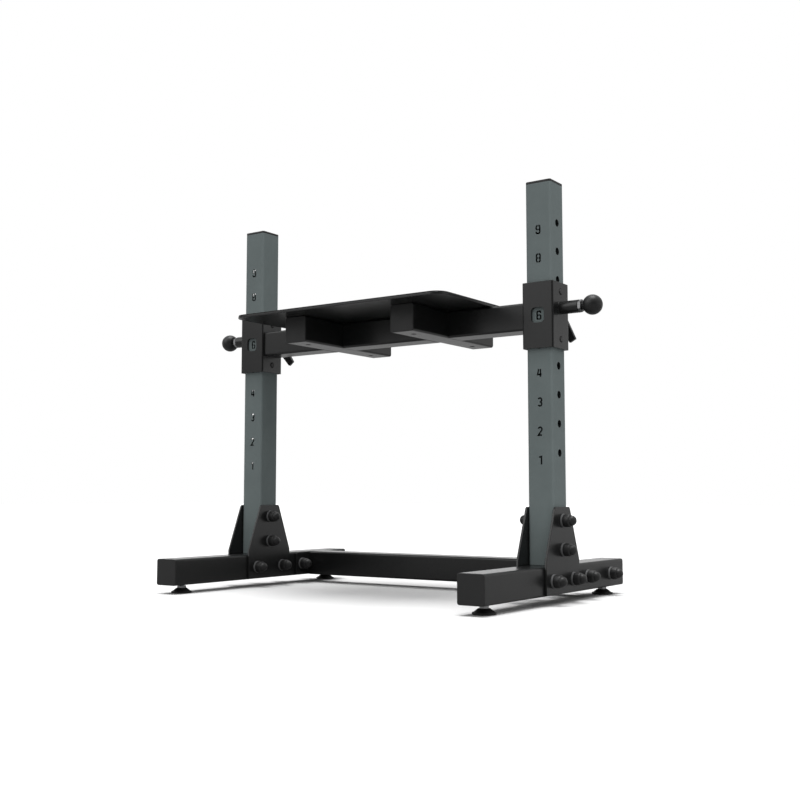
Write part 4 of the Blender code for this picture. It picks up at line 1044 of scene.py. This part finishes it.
def make_beam(centre, paint):
    """The beam between the sleeves, in three lengths that the arms divide."""
    sleeve_face = UPRIGHT_X - SLEEVE_FACE
    arm_outside = ARM_X + TUBE_SIDE / 2
    arm_inside = ARM_X - TUBE_SIDE / 2
    spans = {
        "left": (-sleeve_face, -arm_outside),
        "middle": (-arm_inside, arm_inside),
        "right": (arm_outside, sleeve_face),
    }
    for name, (low, high) in spans.items():
        low -= BEAM_OVERLAP
        high += BEAM_OVERLAP
        bm = add_tube(bmesh.new(), SQUARE_TUBE, low, high, centre @ ALONG_X)
        node = f"platform_beam_{name}"
        dress(node, "coated", bm, paint["black"], "platform", "black_powder_coat")


def make_deck_bolt(node, deck_top, place, paint):
    """A screw with a hexagon socket whose head is inside an arm."""
    head_radius, head_length, stem_radius, ease = 0.005, 0.006, 0.003, 0.0004
    head_top = TUBE_SIDE / 2 - TUBE_WALL - SEAT_GAP
    head_low = head_top - head_length
    stem_end = deck_top - 0.0002
    profile = [(0, head_low), (head_radius - ease, head_low), (head_radius, head_low + 0.0005)]
    profile += [(head_radius, head_top), (stem_radius, head_top), (stem_radius, stem_end)]
    bm = add_turned(bmesh.new(), profile + [(0, stem_end)], SMALL_SIDES, place)
    socket = add_prism(bmesh.new(), hexagon(0.005), head_low - 0.001, head_low + 0.003, place)
    dress(
        node, "plated", bm, paint["zinc"], "platform", "bright_zinc",
        work=[("DIFFERENCE", socket)],
    )


def make_arms(centre, deck_top, paint):
    """The arms under the deck, with their plugs and the deck's bolts."""
    half = ARM_HALF - PLUG_THICKNESS - SEAT_GAP
    for side, sign in SIDES.items():
        place = centre @ at(sign * ARM_X, 0, 0)
        bm = add_tube(bmesh.new(), SQUARE_TUBE, -half, half, place @ ALONG_Y)
        cuts = bmesh.new()
        for y_sign in ENDS.values():
            spot = place @ at(0, y_sign * DECK_BOLT_Y, 0)
            add_prism(cuts, circle(0.006, SMALL_SIDES), -TUBE_SIDE, 0, spot)
        dress(
            f"platform_arm_{side}", "coated", bm, paint["black"], "platform",
            "black_powder_coat", bevel=0.0003, work=[("DIFFERENCE", cuts)],
        )
        for end, y_sign in ENDS.items():
            plug_place = place @ at(0, y_sign * (half + SEAT_GAP), 0) @ TO_Y[y_sign]
            bm = add_plug(bmesh.new(), PLUG_THICKNESS, plug_place)
            node = f"arm_plug_{side}_{end}"
            dress(node, "moulded", bm, paint["plastic"], "platform", "black_plastic")
            spot = place @ at(0, y_sign * DECK_BOLT_Y, 0)
            make_deck_bolt(f"deck_bolt_{side}_{end}", deck_top, spot, paint)


def make_platform(paint):
    """Beam, arms, deck and mat."""
    centre = at(0, 0, CARRIAGE_Z)
    width, depth, thickness = DECK_SIZE
    deck_low = TUBE_SIDE / 2 + SEAT_GAP
    deck_top = deck_low + thickness
    make_beam(centre, paint)
    make_arms(centre, deck_top, paint)

    plate = (width, depth, DECK_CORNER)
    bm = add_slab(bmesh.new(), plate, deck_low, deck_top, 0.0008, centre, steps=3)
    dress("deck_plate", "coated", bm, paint["black"], "platform", "black_powder_coat")
    mat = (width - 2 * MAT_INSET, depth - 2 * MAT_INSET, DECK_CORNER - MAT_INSET)
    mat_low = deck_top + SEAT_GAP
    mat_top = mat_low + MAT_THICKNESS
    bm = add_slab(bmesh.new(), mat, mat_low, mat_top, 0.0007, centre, steps=3)
    dress("deck_mat", "pebbled", bm, paint["mat"], "platform", "black_rubber")


def main():
    bpy.context.scene.view_settings.view_transform = "Standard"
    make_camera()
    make_lamp()
    make_studio()
    make_floor()
    paint = make_materials()
    make_feet(paint)
    make_cross_tube(paint)
    make_uprights(paint)
    make_gussets(paint)
    make_bolts(paint)
    for side in SIDES:
        make_sleeve(side, paint)
        make_liner(side, paint)
        make_pull_pin(side, paint)
        make_clamp_lever(side, paint)
        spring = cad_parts[f"pin_spring_{side}"]
        spring.data.materials.clear()
        spring.data.materials.append(paint["zinc"])
    make_platform(paint)


main()
